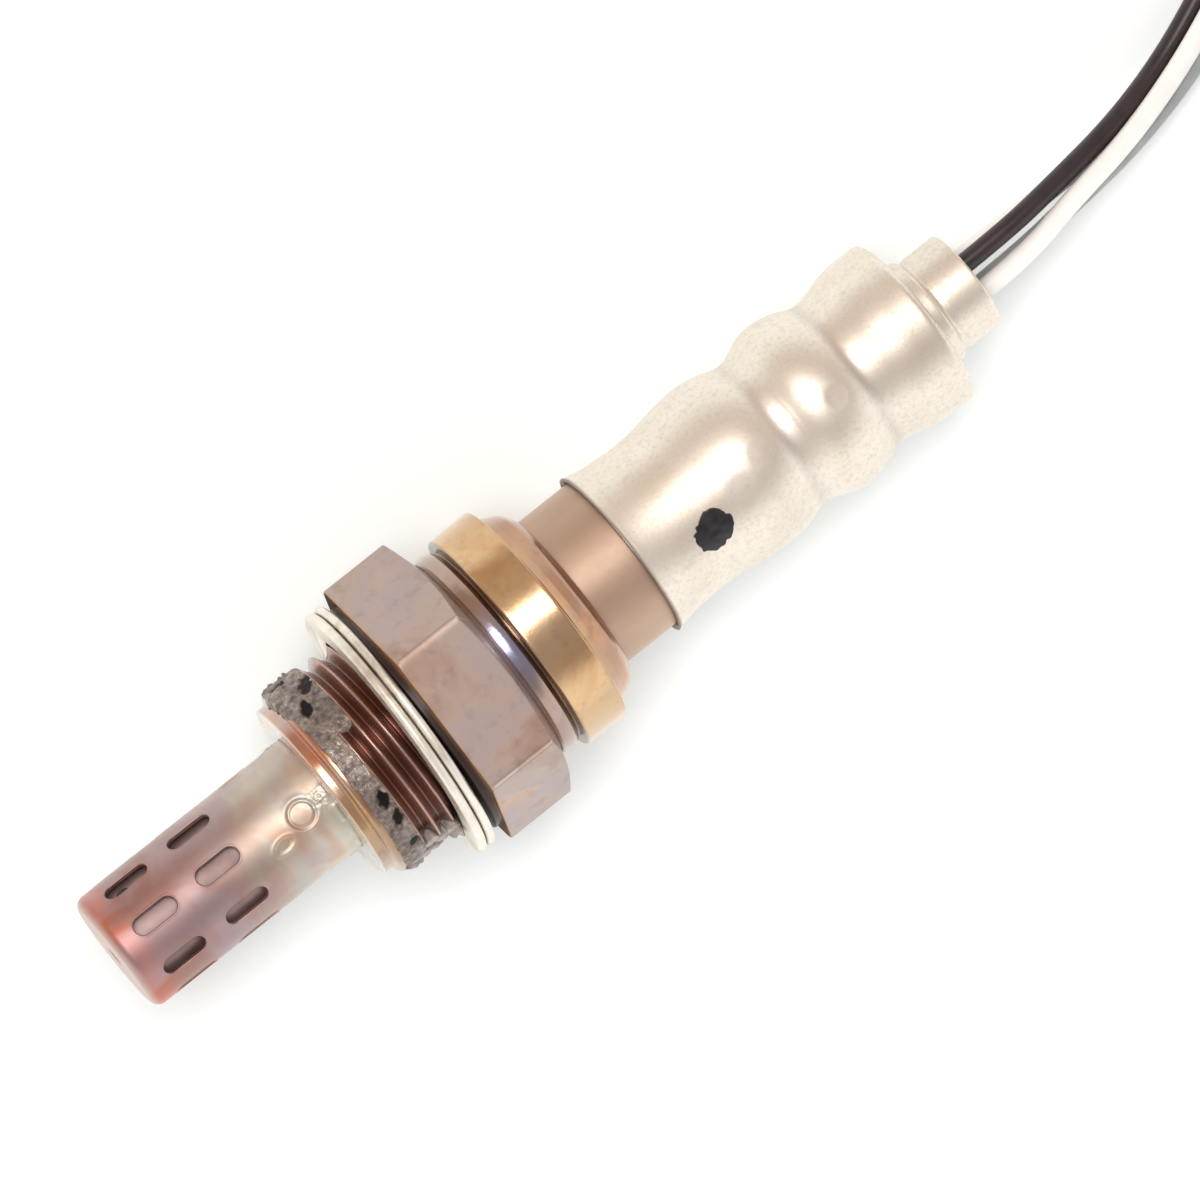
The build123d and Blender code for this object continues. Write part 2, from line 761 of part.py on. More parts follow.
# ---- plug ---------------------------------------------------------------------
plug_rear_x = plug_entry[0]
plug_front_x = plug_rear_x - plug_length
seal_rear_x = plug_rear_x - seal_recess
seal_front_x = seal_rear_x - seal_length
lock_rear_x = plug_front_x + lock_length
plug_wire_end_x = seal_front_x - 2.5
plug_middle = (plug_entry[1], floor_z + plug_height / 2)


def plug_places():
    y, z = plug_middle
    return [(y + sy * plug_half_pitch, z + sz * plug_half_pitch) for sy, sz in wires.values()]


def centred(x, width, height, y=None, z=None):
    """A block along X about the plug's middle, or about another place."""
    y = plug_middle[0] if y is None else y
    z = plug_middle[1] if z is None else z
    return block(x, (y - width / 2, y + width / 2), (z - height / 2, z + height / 2))


def plug_housing():
    """Moulded body with a rear seal pocket, four cavities and a front lock
    pocket, guide ribs on its sides and a latch ramp on top."""
    y, z = plug_middle
    body = centred((plug_front_x, plug_rear_x), plug_width, plug_height)
    body = fillet(body.edges().filter_by(Axis.X), plug_rounding)
    top = floor_z + plug_height
    latch = block((plug_front_x + 3, plug_front_x + 3 + latch_size[0]),
                  (y - latch_size[1] / 2, y + latch_size[1] / 2), (top - 0.5, top + latch_size[2]))
    ramp = latch.edges().filter_by(Axis.Y).group_by(Axis.Z)[-1].sort_by(Axis.X)[0]
    body += chamfer(ramp, latch_size[2] - 0.2)
    for side in (-1, 1):
        rib_y = y + side * (plug_width / 2 + rib_size[1] / 2 - 0.1)
        body += centred((plug_front_x, plug_front_x + rib_size[0]), rib_size[1] + 0.2,
                        rib_size[2], y=rib_y)
    body -= centred((seal_front_x, plug_rear_x + 1), seal_width, seal_width)
    body -= centred((plug_front_x - 1, lock_rear_x), lock_width, lock_height)
    for place_y, place_z in plug_places():
        body -= centred((lock_rear_x, seal_front_x), plug_cavity, plug_cavity, place_y, place_z)
    return body


def plug_seal():
    seal = centred((seal_front_x, seal_rear_x), seal_width - 2 * slide_gap,
                   seal_width - 2 * slide_gap)
    for y, z in plug_places():
        seal -= rod(wire_hole_radius, seal_rear_x + 1, seal_front_x - 1, y, z)
    return seal


def plug_lock():
    """Front plate that holds the terminals in, with a window for each."""
    lock = centred((plug_front_x + 0.2, lock_rear_x), lock_width - 2 * slide_gap,
                   lock_height - 2 * slide_gap)
    for y, z in plug_places():
        lock -= centred((plug_front_x - 1, lock_rear_x + 1), 1.5, 1.0, y, z)
    return lock


def plug_terminal(place):
    """Box terminal with a round crimp on the wire."""
    y, z = place
    box_rear_x = plug_wire_end_x - 1.0
    size = pin_width, pin_width
    pin = centred((lock_rear_x + seat_gap, box_rear_x), *size, y, z)
    pin -= centred((lock_rear_x - 1, box_rear_x + 0.6 - 1.4), 2 * pin_wall + 0.5,
                   2 * pin_wall + 0.3, y, z)
    crimp = rod(plug_cavity / 2 - slide_gap, seal_front_x - 0.4, box_rear_x - 0.4, y, z)
    crimp -= rod(wire_hole_radius, seal_front_x, plug_wire_end_x - 0.05, y, z)
    return pin + crimp


# ---- write every piece --------------------------------------------------------
sensor_pieces = {
    "outer_shield": outer_shield(),
    "inner_shield": inner_shield(),
    "steel_shell": steel_shell(),
    "gasket_ring": gasket_ring(),
    "seat_ring": seat_ring(),
    "sensing_element": sensing_element(),
    "heater_rod": rod(heater_radius, heater_front_x(), -heater_tail),
    "inner_contact": inner_contact(),
    "outer_contact": outer_contact(),
    "talc_seal": talc_seal(),
    "support_insulator": support_insulator(),
    "packing_ring": packing_ring(),
    "lower_sleeve": lower_sleeve(),
    "upper_cover": upper_cover(),
    "terminal_holder": terminal_holder(),
    "holder_clip": holder_clip(),
    "grommet": grommet(),
}
for wire_name in wires:
    sensor_pieces["ferrule_" + wire_name] = ferrule(wire_name)

pieces = {name: laid * piece for name, piece in sensor_pieces.items()}
pieces["lead_coil"] = lead_coil()
pieces["coil_tie"] = coil_tie()
pieces["plug_housing"] = plug_housing()
pieces["plug_seal"] = plug_seal()
pieces["plug_lock"] = plug_lock()
for wire_name, wire_place in zip(wires, plug_places()):
    pieces["wire_" + wire_name] = wire(wire_name)
    pieces["wire_" + wire_name + "_tail"] = wire_tail(wire_name)
    pieces["plug_terminal_" + wire_name] = plug_terminal(wire_place)

print("rest tilt", round(math.degrees(rest_tilt), 4), "floor", round(floor_z, 4),
      "exit x", round(exit_x, 3))
os.makedirs("parts", exist_ok=True)
for name, piece in pieces.items():
    export_step(piece, f"parts/{name}.step")
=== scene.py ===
import json
import math
import bmesh
import bpy
import numpy as np
from mathutils import Matrix, Vector


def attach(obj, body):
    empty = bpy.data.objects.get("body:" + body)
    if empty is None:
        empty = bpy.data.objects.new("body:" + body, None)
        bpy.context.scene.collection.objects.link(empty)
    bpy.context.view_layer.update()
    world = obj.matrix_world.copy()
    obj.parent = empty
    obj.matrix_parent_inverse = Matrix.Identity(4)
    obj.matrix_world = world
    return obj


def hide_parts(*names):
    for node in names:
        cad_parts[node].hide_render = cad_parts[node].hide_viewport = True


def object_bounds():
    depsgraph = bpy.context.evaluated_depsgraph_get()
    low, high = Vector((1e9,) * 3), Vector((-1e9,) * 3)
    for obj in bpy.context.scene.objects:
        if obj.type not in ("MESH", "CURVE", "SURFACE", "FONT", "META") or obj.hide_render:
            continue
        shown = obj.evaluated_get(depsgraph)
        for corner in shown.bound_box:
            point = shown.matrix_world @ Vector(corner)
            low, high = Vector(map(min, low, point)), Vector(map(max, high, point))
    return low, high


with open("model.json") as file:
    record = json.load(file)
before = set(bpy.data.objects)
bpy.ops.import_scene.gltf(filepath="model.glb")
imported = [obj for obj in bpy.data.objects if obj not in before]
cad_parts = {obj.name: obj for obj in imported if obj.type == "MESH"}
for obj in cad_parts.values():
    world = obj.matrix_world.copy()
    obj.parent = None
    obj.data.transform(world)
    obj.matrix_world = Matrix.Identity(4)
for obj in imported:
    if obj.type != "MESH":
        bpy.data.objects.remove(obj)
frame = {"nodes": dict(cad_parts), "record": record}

cadLow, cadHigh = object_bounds()
floorHeight = cadLow.z
mm = 0.001
fullTurn = 2 * math.pi

# The sensor's own axis runs towards its tip, which the rest tips up. Pieces are worked out
# in millimetres about that axis: along it from the gasket's face, and the turn about it,
# from the top towards +Y. The thread's mount gives its direction.
threadMount = next(m for m in frame["record"]["mounts"] if m["name"] == "thread")
tipUp = math.atan2(threadMount["axis"][2], threadMount["axis"][0])
print("frame loaded, tip up", round(math.degrees(tipUp), 3), "degrees, floor", round(floorHeight, 5))


def laidPoints(along, radius, turn):
    # cylinder coordinates about the sensor's axis, tipped up with it, in metres
    z = radius * np.cos(turn)
    return np.stack([along * math.cos(tipUp) - z * math.sin(tipUp), radius * np.sin(turn),
                     along * math.sin(tipUp) + z * math.cos(tipUp)], axis=-1) * mm


def placed(name, data):
    # an object at the origin for a mesh, curve, lamp or camera
    thing = bpy.data.objects.new(name, data)
    bpy.context.scene.collection.objects.link(thing)
    return thing


def cornersOf(grid):
    # the four corners of each cell of a grid, in order round it
    return np.stack([grid[:-1, :-1], grid[:-1, 1:], grid[1:, 1:], grid[1:, :-1]], axis=2)


def gridPiece(name, points, closedRows=False, closedColumns=False, uv=None, flip=False):
    # rows and columns of points, each four neighbours a face; a closed way joins last to first
    # and has one more row or column of uv than of points
    index = np.arange(points.size // 3).reshape(points.shape[:2])
    if closedRows:
        index = np.vstack([index, index[:1]])
    if closedColumns:
        index = np.hstack([index, index[:, :1]])
    order = [0, 3, 2, 1] if flip else [0, 1, 2, 3]
    faces = cornersOf(index)[:, :, order].reshape(-1, 4)
    mesh = bpy.data.meshes.new(name)
    mesh.vertices.add(points.size // 3)
    mesh.vertices.foreach_set("co", points.ravel().astype(np.float32))
    mesh.loops.add(faces.size)
    mesh.loops.foreach_set("vertex_index", faces.ravel().astype(np.int32))
    mesh.polygons.add(len(faces))
    mesh.polygons.foreach_set("loop_start", np.arange(0, faces.size, 4, dtype=np.int32))
    if uv is not None:
        layer = mesh.uv_layers.new(name="surface")
        layer.data.foreach_set("uv", cornersOf(uv)[:, :, order].ravel().astype(np.float32))
    mesh.update(calc_edges=True)
    mesh.validate()
    mesh.shade_smooth()
    return placed(name, mesh)


def uvPlace(along):
    # a hundred millimetres of the sensor go into the uv's height
    return along / 100 + 0.5


def turnedPiece(name, outline, columns, shape=None, flip=False, height=None, marks=None, closed=True, start=0):
    # an outline (along, radius) carried round the axis from a first turn; shape may move each
    # point, height is the uv's, and marks are values at each point for its material
    turn = start + np.linspace(0, fullTurn, columns + 1)
    along, turns = np.meshgrid(outline[:, 0], turn[:-1], indexing="ij")
    radius = np.repeat(outline[:, 1:2], columns, axis=1)
    moved = shape(along, radius, turns) if shape else (along, radius)
    height = uvPlace(outline[:, 0]) if height is None else height
    height = np.append(height, height[0])[:len(outline) + closed]
    uv = np.stack(np.meshgrid(turn / fullTurn, height), axis=-1)
    piece = gridPiece(name, laidPoints(*moved, turns), closed, True, uv, flip)
    for mark, value in (marks or {}).items():
        layer = piece.data.attributes.new(mark, "FLOAT", "POINT")
        layer.data.foreach_set("value", value(along, radius, turns).ravel().astype(np.float32))
    return piece


def roundedOutline(corners, step):
    # a closed outline through corners (along, radius, rounding): each corner is cut by an arc
    # of its rounding, and straight runs are divided about every step
    corners = [np.array(c, float) for c in corners]
    points = []
    for before, here, after in zip([corners[-1]] + corners[:-1], corners, corners[1:] + [corners[0]]):
        inward, outward = before[:2] - here[:2], after[:2] - here[:2]
        reachIn, reachOut = np.linalg.norm(inward), np.linalg.norm(outward)
        inward, outward = inward / reachIn, outward / reachOut
        half = math.acos(np.clip(inward @ outward, -1, 1)) / 2
        if here[2] <= 0 or half > 1.55:  # nearly straight on
            points.append(here[:2])
            continue
        cut = min(here[2] / math.tan(half), 0.49 * reachIn, 0.49 * reachOut)
        middle = (inward + outward) / np.linalg.norm(inward + outward)
        centre = here[:2] + middle * cut / math.cos(half)
        start, end = here[:2] + inward * cut - centre, here[:2] + outward * cut - centre
        sweep = math.atan2(start[0] * end[1] - start[1] * end[0], start @ end)
        swept = np.linspace(0, sweep, max(3, int(abs(sweep) / 0.35) + 2))[:, None]
        points += list(centre + np.cos(swept) * start + np.sin(swept) * [-start[1], start[0]])
    runs = []
    for p, q in zip(points, points[1:] + points[:1]):
        count = max(1, int(np.linalg.norm(q - p) / step))
        runs.append(p + (q - p) * np.arange(count)[:, None] / count)
    return np.concatenate(runs)


def withoutRun(outline, start, end):
    # the outline less its points on a straight hidden run, which needs none between its ends
    way = np.subtract(end, start)
    length = np.linalg.norm(way)
    reach = (outline - start) @ way / length
    off = np.abs((outline - start) @ [-way[1], way[0]]) / length
    return outline[(off > 0.001) | (reach < 0.01) | (reach > length - 0.01)]


def smoothStep(low, high, value):
    # from 0 at low to 1 at high, eased as 3tt - 2ttt
    t = np.clip((value - low) / (high - low), 0, 1)
    return t * t * (3 - 2 * t)


def bell(value, middle, width):
    # exponential of minus the squared distance from the middle, in widths
    return np.exp(-((value - middle) / width) ** 2)


def bumps(x, y, seed, wrapY=64):
    # smooth random field: random values on a unit lattice, joined by smooth weights
    table = np.random.default_rng(seed).random((64, 64))
    x0, y0 = np.floor(x).astype(int), np.floor(y).astype(int)
    fx, fy = smoothStep(0, 1, x - x0), smoothStep(0, 1, y - y0)
    left, right, low, high = x0 % 64, (x0 + 1) % 64, y0 % wrapY, (y0 + 1) % wrapY
    return (table[left, low] * (1 - fx) + table[right, low] * fx) * (1 - fy) \
        + (table[left, high] * (1 - fx) + table[right, high] * fx) * fy


def welded(name, meshes, reach, flatten=False):
    # several meshes as one, points within reach merged; flatten joins a solid's flat faces
    bm = bmesh.new()
    for mesh in meshes:
        bm.from_mesh(mesh)
    bmesh.ops.remove_doubles(bm, verts=bm.verts, dist=reach)
    if flatten:
        bmesh.ops.dissolve_limit(bm, angle_limit=math.radians(1), verts=bm.verts, edges=bm.edges)
    else:
        bmesh.ops.recalc_face_normals(bm, faces=bm.faces)
    whole = bpy.data.meshes.new(name)
    bm.to_mesh(whole)
    bm.free()
    whole.shade_smooth()
    return placed(name, whole)


def wrapTurn(turn, whole=fullTurn):
    # the same turn, from minus half of the whole to plus half of it
    return (turn + whole / 2) % whole - whole / 2


def ovalReach(du, dv, long, wide, lean):
    # 1 on an oval's edge, whose long half lies along u before it leans
    c, s = math.cos(lean), math.sin(lean)
    return np.hypot((du * c + dv * s) / long, (dv * c - du * s) / wide)


# Materials. The bench holds the one in the making; a colour is a grey number, red, green and
# blue as on screen, or four linear numbers.
bench = {"tree": None, "shader": None}
shaderSockets = {"metal": "Metallic", "rough": "Roughness", "colour": "Base Color", "coat": "Coat Weight",
                 "coatRough": "Coat Roughness", "specular": "Specular IOR Level"}


def addNode(kind, inputs=None, **settings):
    node = bench["tree"].nodes.new(kind)
    for key, value in settings.items():
        setattr(node, key, value)
    for key, value in (inputs or {}).items():
        if isinstance(value, bpy.types.NodeSocket):
            bench["tree"].links.new(value, node.inputs[key])
        else:
            node.inputs[key].default_value = value
    return node


def newFinish(name, **sockets):
    # a Principled material; even values are set on its own sockets
    finish = bpy.data.materials.new(name)
    finish.use_nodes = True
    bench["tree"] = finish.node_tree
    bench["shader"] = finish.node_tree.nodes["Principled BSDF"]
    for key, value in sockets.items():
        bench["shader"].inputs[shaderSockets[key]].default_value = value
    return finish


def feed(bump=None, **sources):
    # links worked out values to the shader; bump is its height, strength and distance
    for key, source in sources.items():
        bench["tree"].links.new(source, bench["shader"].inputs[shaderSockets[key]])
    if bump:
        node = addNode("ShaderNodeBump", dict(zip(("Height", "Strength", "Distance"), bump)))
        bench["tree"].links.new(node.outputs[0], bench["shader"].inputs["Normal"])


def shade(value):
    # a colour as four linear numbers, or the socket that gives it
    if isinstance(value, (int, float)):
        return value, value, value, 1
    if isinstance(value, bpy.types.NodeSocket) or len(value) == 4:
        return value
    return (*(((v / 255 + 0.055) / 1.055) ** 2.4 if v > 10 else v / 255 / 12.92 for v in value), 1)


def calc(operation, *values):
    return addNode("ShaderNodeMath", dict(enumerate(values)), operation=operation).outputs[0]


def spread(value, low, high, fromLow=0, fromHigh=1):
    # one range of values laid over another
    return addNode("ShaderNodeMapRange", {0: value, 1: fromLow, 2: fromHigh, 3: low, 4: high}).outputs[0]


def colourRamp(factor, stops):
    # stops are (place, colour); the first two are already there
    node = addNode("ShaderNodeValToRGB", {0: factor})
    while len(node.color_ramp.elements) < len(stops):
        node.color_ramp.elements.new(0.5)
    for element, (place, colour) in zip(node.color_ramp.elements, stops):
        element.position = place
        element.color = shade(colour)
    return node.outputs[0]


def mixed(factor, a, b, way="MIX"):
    return addNode("ShaderNodeMix", {0: factor, 6: shade(a), 7: shade(b)}, data_type="RGBA",
                   blend_type=way).outputs[2]


def noiseField(scale, detail, rough, stretch=(1, 1, 1), distortion=0.0):
    # noise on the piece's own coordinates, stretched along the sensor's axes, from 0 to 1
    place = addNode("ShaderNodeTexCoord").outputs["Object"]
    turned = addNode("ShaderNodeMapping", {0: place, 2: (0, tipUp, 0), 3: stretch}).outputs[0]
    return addNode("ShaderNodeTexNoise", {"Vector": turned, "Scale": scale, "Detail": detail,
                                          "Roughness": rough, "Distortion": distortion}).outputs[0]


def uvPart(number):
    uv = addNode("ShaderNodeUVMap", uv_map="surface").outputs[0]
    return addNode("ShaderNodeSeparateXYZ", {0: uv}).outputs[number]


def alongAxis(low, high):
    # 0 at low and 1 at high, in millimetres along the sensor, from the piece's uv
    return spread(uvPart(1), 0, 1, uvPlace(low), uvPlace(high))


def markOf(name):
    return addNode("ShaderNodeAttribute", attribute_name=name).outputs["Fac"]


def mottledFinish(name, cloud, stops, bump, gloss=None, **sockets):
    # colours by a cloud of noise, a fine bump, and where gloss is given an uneven roughness
    finish = newFinish(name, **sockets)
    feed(colour=colourRamp(noiseField(*cloud), stops), bump=(noiseField(*bump[0]), *bump[1:]))
    if gloss:
        feed(rough=spread(noiseField(*gloss[0]), *gloss[1:]))
    return finish


def dress(piece, finish, replaces=()):
    # a piece's finish and body, with the nodes that it stands for hidden
    piece.data.materials.clear()
    piece.data.materials.append(finish)
    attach(piece, "root")
    if replaces:
        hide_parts(*replaces)
    return piece


def spanAlong(node):
    # nearest and furthest reach of a CAD node along the sensor's axis, in millimetres
    mesh = frame["nodes"][node].data
    co = np.zeros(len(mesh.vertices) * 3)
    mesh.vertices.foreach_get("co", co)
    co = co.reshape(-1, 3)
    reach = (co[:, 0] * math.cos(tipUp) + co[:, 2] * math.sin(tipUp)) / mm
    return reach.min(), reach.max()


shieldRoot, tipEnd = spanAlong("outer_shield")
shellRear, shellFront = spanAlong("steel_shell")
coverEnd, coverFront = spanAlong("upper_cover")
print("tip", tipEnd, "shell", shellFront, shellRear, "cover", coverFront, coverEnd)

# outer protection tube: places count from the tip, turns are in degrees
tube = {"radius": 5.35, "wall": 0.4, "corner": 0.95, "endHole": 0.8, "flange": 1.1, "flangeDepth": 0.5,
        "slotLength": 4.05, "slotWidth": 1.6, "slotLip": 0.11, "slotRows": (4.18, 10.5), "slotColumns": 8,
        "firstSlot": -16.6, "ringPlace": 18.3, "ringTurn": -6.5, "ringRadius": 1.0, "ovalPlace": 15.7,
        "ovalTurn": 5.5, "ovalLean": -0.1, "crumplePlace": 20.0, "acrossCell": 40, "alongCell": 36}


def tubeDents(along, turn):
    # how far the tube stands out: a pressed ring with a low middle, an oval dimple and crumpled
    # metal, the same four times round, and a rim torn in places beside the shell
    place = tipEnd - along
    arc, arcOval = (tube["radius"] * wrapTurn(turn - math.radians(tube[key]), math.pi / 2)
                    for key in ("ringTurn", "ovalTurn"))
    ring = tube["ringRadius"]
    fromRing = np.hypot(place - tube["ringPlace"], arc)
    height = 0.05 * bell(fromRing, ring + 0.42, 0.22) - 0.17 * bell(fromRing, ring + 0.10, 0.13)
    height -= 0.03 * smoothStep(ring, ring - 0.35, fromRing)
    fromOval = ovalReach(place - tube["ovalPlace"], arcOval, 1.0, 0.6, tube["ovalLean"])
    height += 0.06 * bell(fromOval, 1.12, 0.16) - 0.14 * smoothStep(1.05, 0.55, fromOval)
    facets = np.abs(2 * bumps(place * 3.4, arc * 3.4 + 20, 7) - 1)
    facets += 0.6 * np.abs(2 * bumps(place * 7, arc * 7 + 40, 8) - 1)
    height += bell(place, tube["crumplePlace"], 0.62) * bell(arc, -0.15, 0.75) * (0.26 * facets - 0.12)
    torn = smoothStep(0.45, 0.8, bumps(turn * 9, place * 0 + 3, 12))
    height += 0.10 * bell(place, tipEnd - shellFront - 0.15, 0.22) * torn
    return 0.8 * height + 0.02 * (bumps(place * 0.7 + 9, turn * 3.2 + 30, 3) - 0.5)


def slotCells():
    # the cell round each slot is a ring of grids: from its rectangle in to the slot's edge,
    # over a small rounding, down the wall and back out along the bore
    radius, wall, lip = tube["radius"], tube["wall"], tube["slotLip"]
    halfAlong = (tube["slotRows"][1] - tube["slotRows"][0]) / 2
    halfTurn = math.pi / tube["slotColumns"]

    def side(u, v):
        return np.stack(np.broadcast_arrays(u, v), 1)

    across = np.linspace(-1, 1, tube["acrossCell"] + 1)
    length = np.linspace(-1, 1, tube["alongCell"] + 1)
    edge = np.concatenate([side(-1.0, across[:-1]), side(length[:-1], 1.0),
                           side(1.0, across[:0:-1]), side(length[:0:-1], -1.0)])
    outer = edge * [halfAlong, halfTurn * radius]
    straight = (tube["slotLength"] - tube["slotWidth"]) / 2
    spine = side(np.clip(outer[:, 0], -straight, straight), 0.0)
    out = outer - spine
    out /= np.linalg.norm(out, axis=1, keepdims=True)
    slot = spine + out * tube["slotWidth"] / 2
    # each ring: its share of the way in to the slot, its reach outside the slot, and its depth
    plan = [(t, lip, 0) for t in (0, 0.12, 0.25, 0.4, 0.55, 0.7, 0.82, 0.9, 0.955)]
    plan += [(1, lip * (1 - math.sin(a)), lip * (1 - math.cos(a)) - 0.02 * math.cos(a))
             for a in np.linspace(0, math.pi / 2, 5)]
    plan += [(1, lip * (1 - math.cos(a)), wall - lip * (1 - math.sin(a)))
             for a in np.linspace(0, math.pi / 2, 4)[1:]]
    plan += [(0.5, lip, wall), (0, lip, wall)]
    rings = np.array([outer + (slot + out * reach - outer) * t for t, reach, depth in plan])
    depths = np.array([depth for t, reach, depth in plan])[:, None]
    return [(tipEnd - place - rings[..., 0], radius - depths + 0 * rings[..., 0],
             math.radians(tube["firstSlot"]) + column * 2 * halfTurn + rings[..., 1] / radius)
            for place in tube["slotRows"] for column in range(tube["slotColumns"])]


def makeOuterShield():
    # the slots' cells, the rounded end with its hole, and the root with its flange
    pieces = []
    for number, (along, radius, turn) in enumerate(slotCells()):
        uv = np.stack([turn / fullTurn % 1.0, uvPlace(along)], axis=-1)
        uv = np.concatenate([uv, uv[:, :1]], axis=1)
        if np.ptp(uv[..., 0]) > 0.5:
            uv[..., 0] += uv[..., 0] < 0.5
        pieces.append(gridPiece(f"slotCell{number}", laidPoints(along, radius, turn), closedColumns=True, uv=uv))
    radius, wall, corner, hole = tube["radius"], tube["wall"], tube["corner"], tube["endHole"]
    halfAlong = (tube["slotRows"][1] - tube["slotRows"][0]) / 2
    cellTip, cellRoot = tipEnd - tube["slotRows"][0] + halfAlong, tipEnd - tube["slotRows"][1] - halfAlong

    def bend(size, turns):
        return [(tipEnd - corner + size * math.sin(a), radius - corner + size * math.cos(a)) for a in turns]

    inside = tipEnd - wall
    end = [(cellTip, radius)] + bend(corner, np.linspace(0, math.pi / 2, 14))
    end += [(tipEnd, r) for r in np.linspace(radius - corner, hole + 0.1, 8)[1:]]
    end += [(tipEnd - 0.03, hole + 0.03), (tipEnd - 0.1, hole), (inside + 0.05, hole), (inside, hole + 0.05)]
    end += [(inside, r) for r in np.linspace(hole + 0.1, radius - corner, 5)]
    end += bend(corner - wall, np.linspace(math.pi / 2, 0, 6)[1:]) + [(cellTip, radius - wall)]
    root = [(a, radius) for a in np.arange(cellRoot, shellFront - 0.2, -0.1)] + [(shellFront - 0.35, radius)]
    flangeEdge, flangeFront = radius + tube["flange"], shieldRoot + tube["flangeDepth"]
    root += [(flangeFront, radius), (flangeFront, flangeEdge), (shieldRoot, flangeEdge),
             (shieldRoot, radius - wall), (cellRoot, radius - wall)]

    def rootShape(along, radii, turn):
        # outside, from the slots to the shell, the tube has its dents
        dented = (radii > radius - 0.05) & (along > shellFront - 0.3)
        return along, radii + tubeDents(along, turn) * smoothStep(cellRoot, cellRoot - 0.5, along) * dented

    start = math.radians(tube["firstSlot"]) - math.pi / tube["slotColumns"]
    for name, outline, shape in (("shieldEnd", end, None), ("shieldRootPart", root, rootShape)):
        pieces.append(turnedPiece(name, np.array(outline), tube["slotColumns"] * tube["acrossCell"], shape,
                                  closed=False, start=start))
    meshes = [piece.data for piece in pieces]
    whole = welded("outerShield", meshes, 0.00002)
    for mesh in meshes:
        bpy.data.meshes.remove(mesh)  # its object goes with it
    return whole


def heatTintFinish():
    # heat colours by place, from pale at the shell to orange at the tip, with patches
    finish = newFinish("heatTintedTube", metal=1.0, coat=0.6, coatRough=0.35)
    along = alongAxis(shellFront, tipEnd)
    wander = calc("MULTIPLY_ADD", noiseField(150, 3, 0.5, (1, 1, 1), 0.4), 0.34, -0.17)
    base = colourRamp(calc("ADD", along, wander), [
        (0.0, (208, 202, 188)), (0.16, (208, 196, 180)), (0.30, (190, 166, 150)), (0.42, (176, 146, 136)),
        (0.60, (160, 126, 120)), (0.84, (162, 118, 108)), (0.95, (202, 112, 84)), (1.0, (176, 102, 82))])
    patch = colourRamp(noiseField(210, 2, 0.5, (0.8, 1, 1), 0.8), [(0.44, 0), (0.62, 1)])
    base = mixed(calc("MULTIPLY", patch, 0.5), base, (172, 156, 164))
    # straw and cool patches near the root
    nearRoot = colourRamp(along, [(0.34, 1), (0.5, 0)])
    warm = colourRamp(noiseField(300, 2, 0.5, (1.2, 0.7, 0.7), 1.2), [(0.48, 0), (0.66, 1)])
    base = mixed(calc("MULTIPLY", calc("MULTIPLY", warm, nearRoot), 0.4), base, (206, 156, 116))
    cool = colourRamp(noiseField(260, 2, 0.5, (1.0, 0.8, 0.8), 0.8), [(0.5, 0), (0.66, 0.4)])
    base = mixed(calc("MULTIPLY", cool, nearRoot), base, (184, 194, 184))
    streaks = colourRamp(noiseField(330, 2, 0.5, (0.25, 1, 1)), [(0.3, 0.86), (0.7, 1.0)])
    base = mixed(1.0, base, streaks, "MULTIPLY")
    face = colourRamp(along, [(0.975, 0), (0.998, 0.8)])
    base = mixed(face, base, (190, 168, 158))
    feed(colour=base, rough=spread(noiseField(420, 4, 0.6), 0.45, 0.55),
         bump=(noiseField(2600, 2, 0.6), 0.12, 0.00002))
    return finish


dress(makeOuterShield(), heatTintFinish(), ["outer_shield"])
print("outer protection tube made")

# threaded shell, turned and milled from one piece
thread = {"crest": 9.0, "depth": 0.86, "pitch": 1.5, "startAlong": 3.37, "startTurn": -29.0, "front": 4.6,
          "rear": -0.6, "relief": 8.5, "lipRadius": 8.25, "pilotEnd": 6.5, "bore": 8.0}
shellSizes = {"washerFace": -1.8, "washerFaceRadius": 10.9, "hexFront": -2.5, "hexRear": -9.75,
              "hexFlats": 22.0, "hexCorner": -8.6, "ridgeSharp": 110, "edgeBlend": 0.05, "coneRadius": 9.2,
              "bandEnd": -11.5, "grooveEnd": -11.75, "grooveRadius": 9.15, "collarEnd": -15.8,
              "collar": 10.3, "sleeve": 7.1, "sleeveGap": 0.04}


def grooveDepth(along, turn):
    # the helical groove: its middle line falls one pitch a turn, and it begins in a round end
    pitch = thread["pitch"]
    past = (turn - math.radians(thread["startTurn"])) % fullTurn
    line = thread["startAlong"] - pitch * past / fullTurn
    turns = np.maximum(np.round((line - along) / pitch), 0)
    off = np.abs(along - (line - turns * pitch)) / (pitch / 2)
    arc = thread["crest"] * np.minimum(past, fullTurn - past)
    off = np.minimum(off, np.hypot(along - thread["startAlong"], arc) / (pitch / 2))
    flank = np.clip((0.90 - off) / 0.84, 0, 1)
    return thread["depth"] * (0.55 * flank + 0.45 * np.sin(flank * math.pi / 2))


def threadShape(along, radius, turn):
    # the groove, slightly worn crests, and turning lines behind the lip
    onThread = (radius > thread["crest"] - 0.45) & (along < 5.0) & (along > -0.7)
    cut = grooveDepth(along, turn) * onThread
    worn = 0.05 * (bumps(along * 1.3 + 5, turn * 7 + 40, 21) - 0.5) * (cut < 0.2)
    worn = worn + 0.02 * np.sin(along * 19) * (along > 6.3) * (radius > 8.2) * (along < 7.3)
    return along, radius - cut + worn * (along > -0.5)


def grooveMark(along, radius, turn):
    # 1 at the bottom of the groove
    return grooveDepth(along, turn) / thread["depth"] * (radius > thread["crest"] - 0.45)


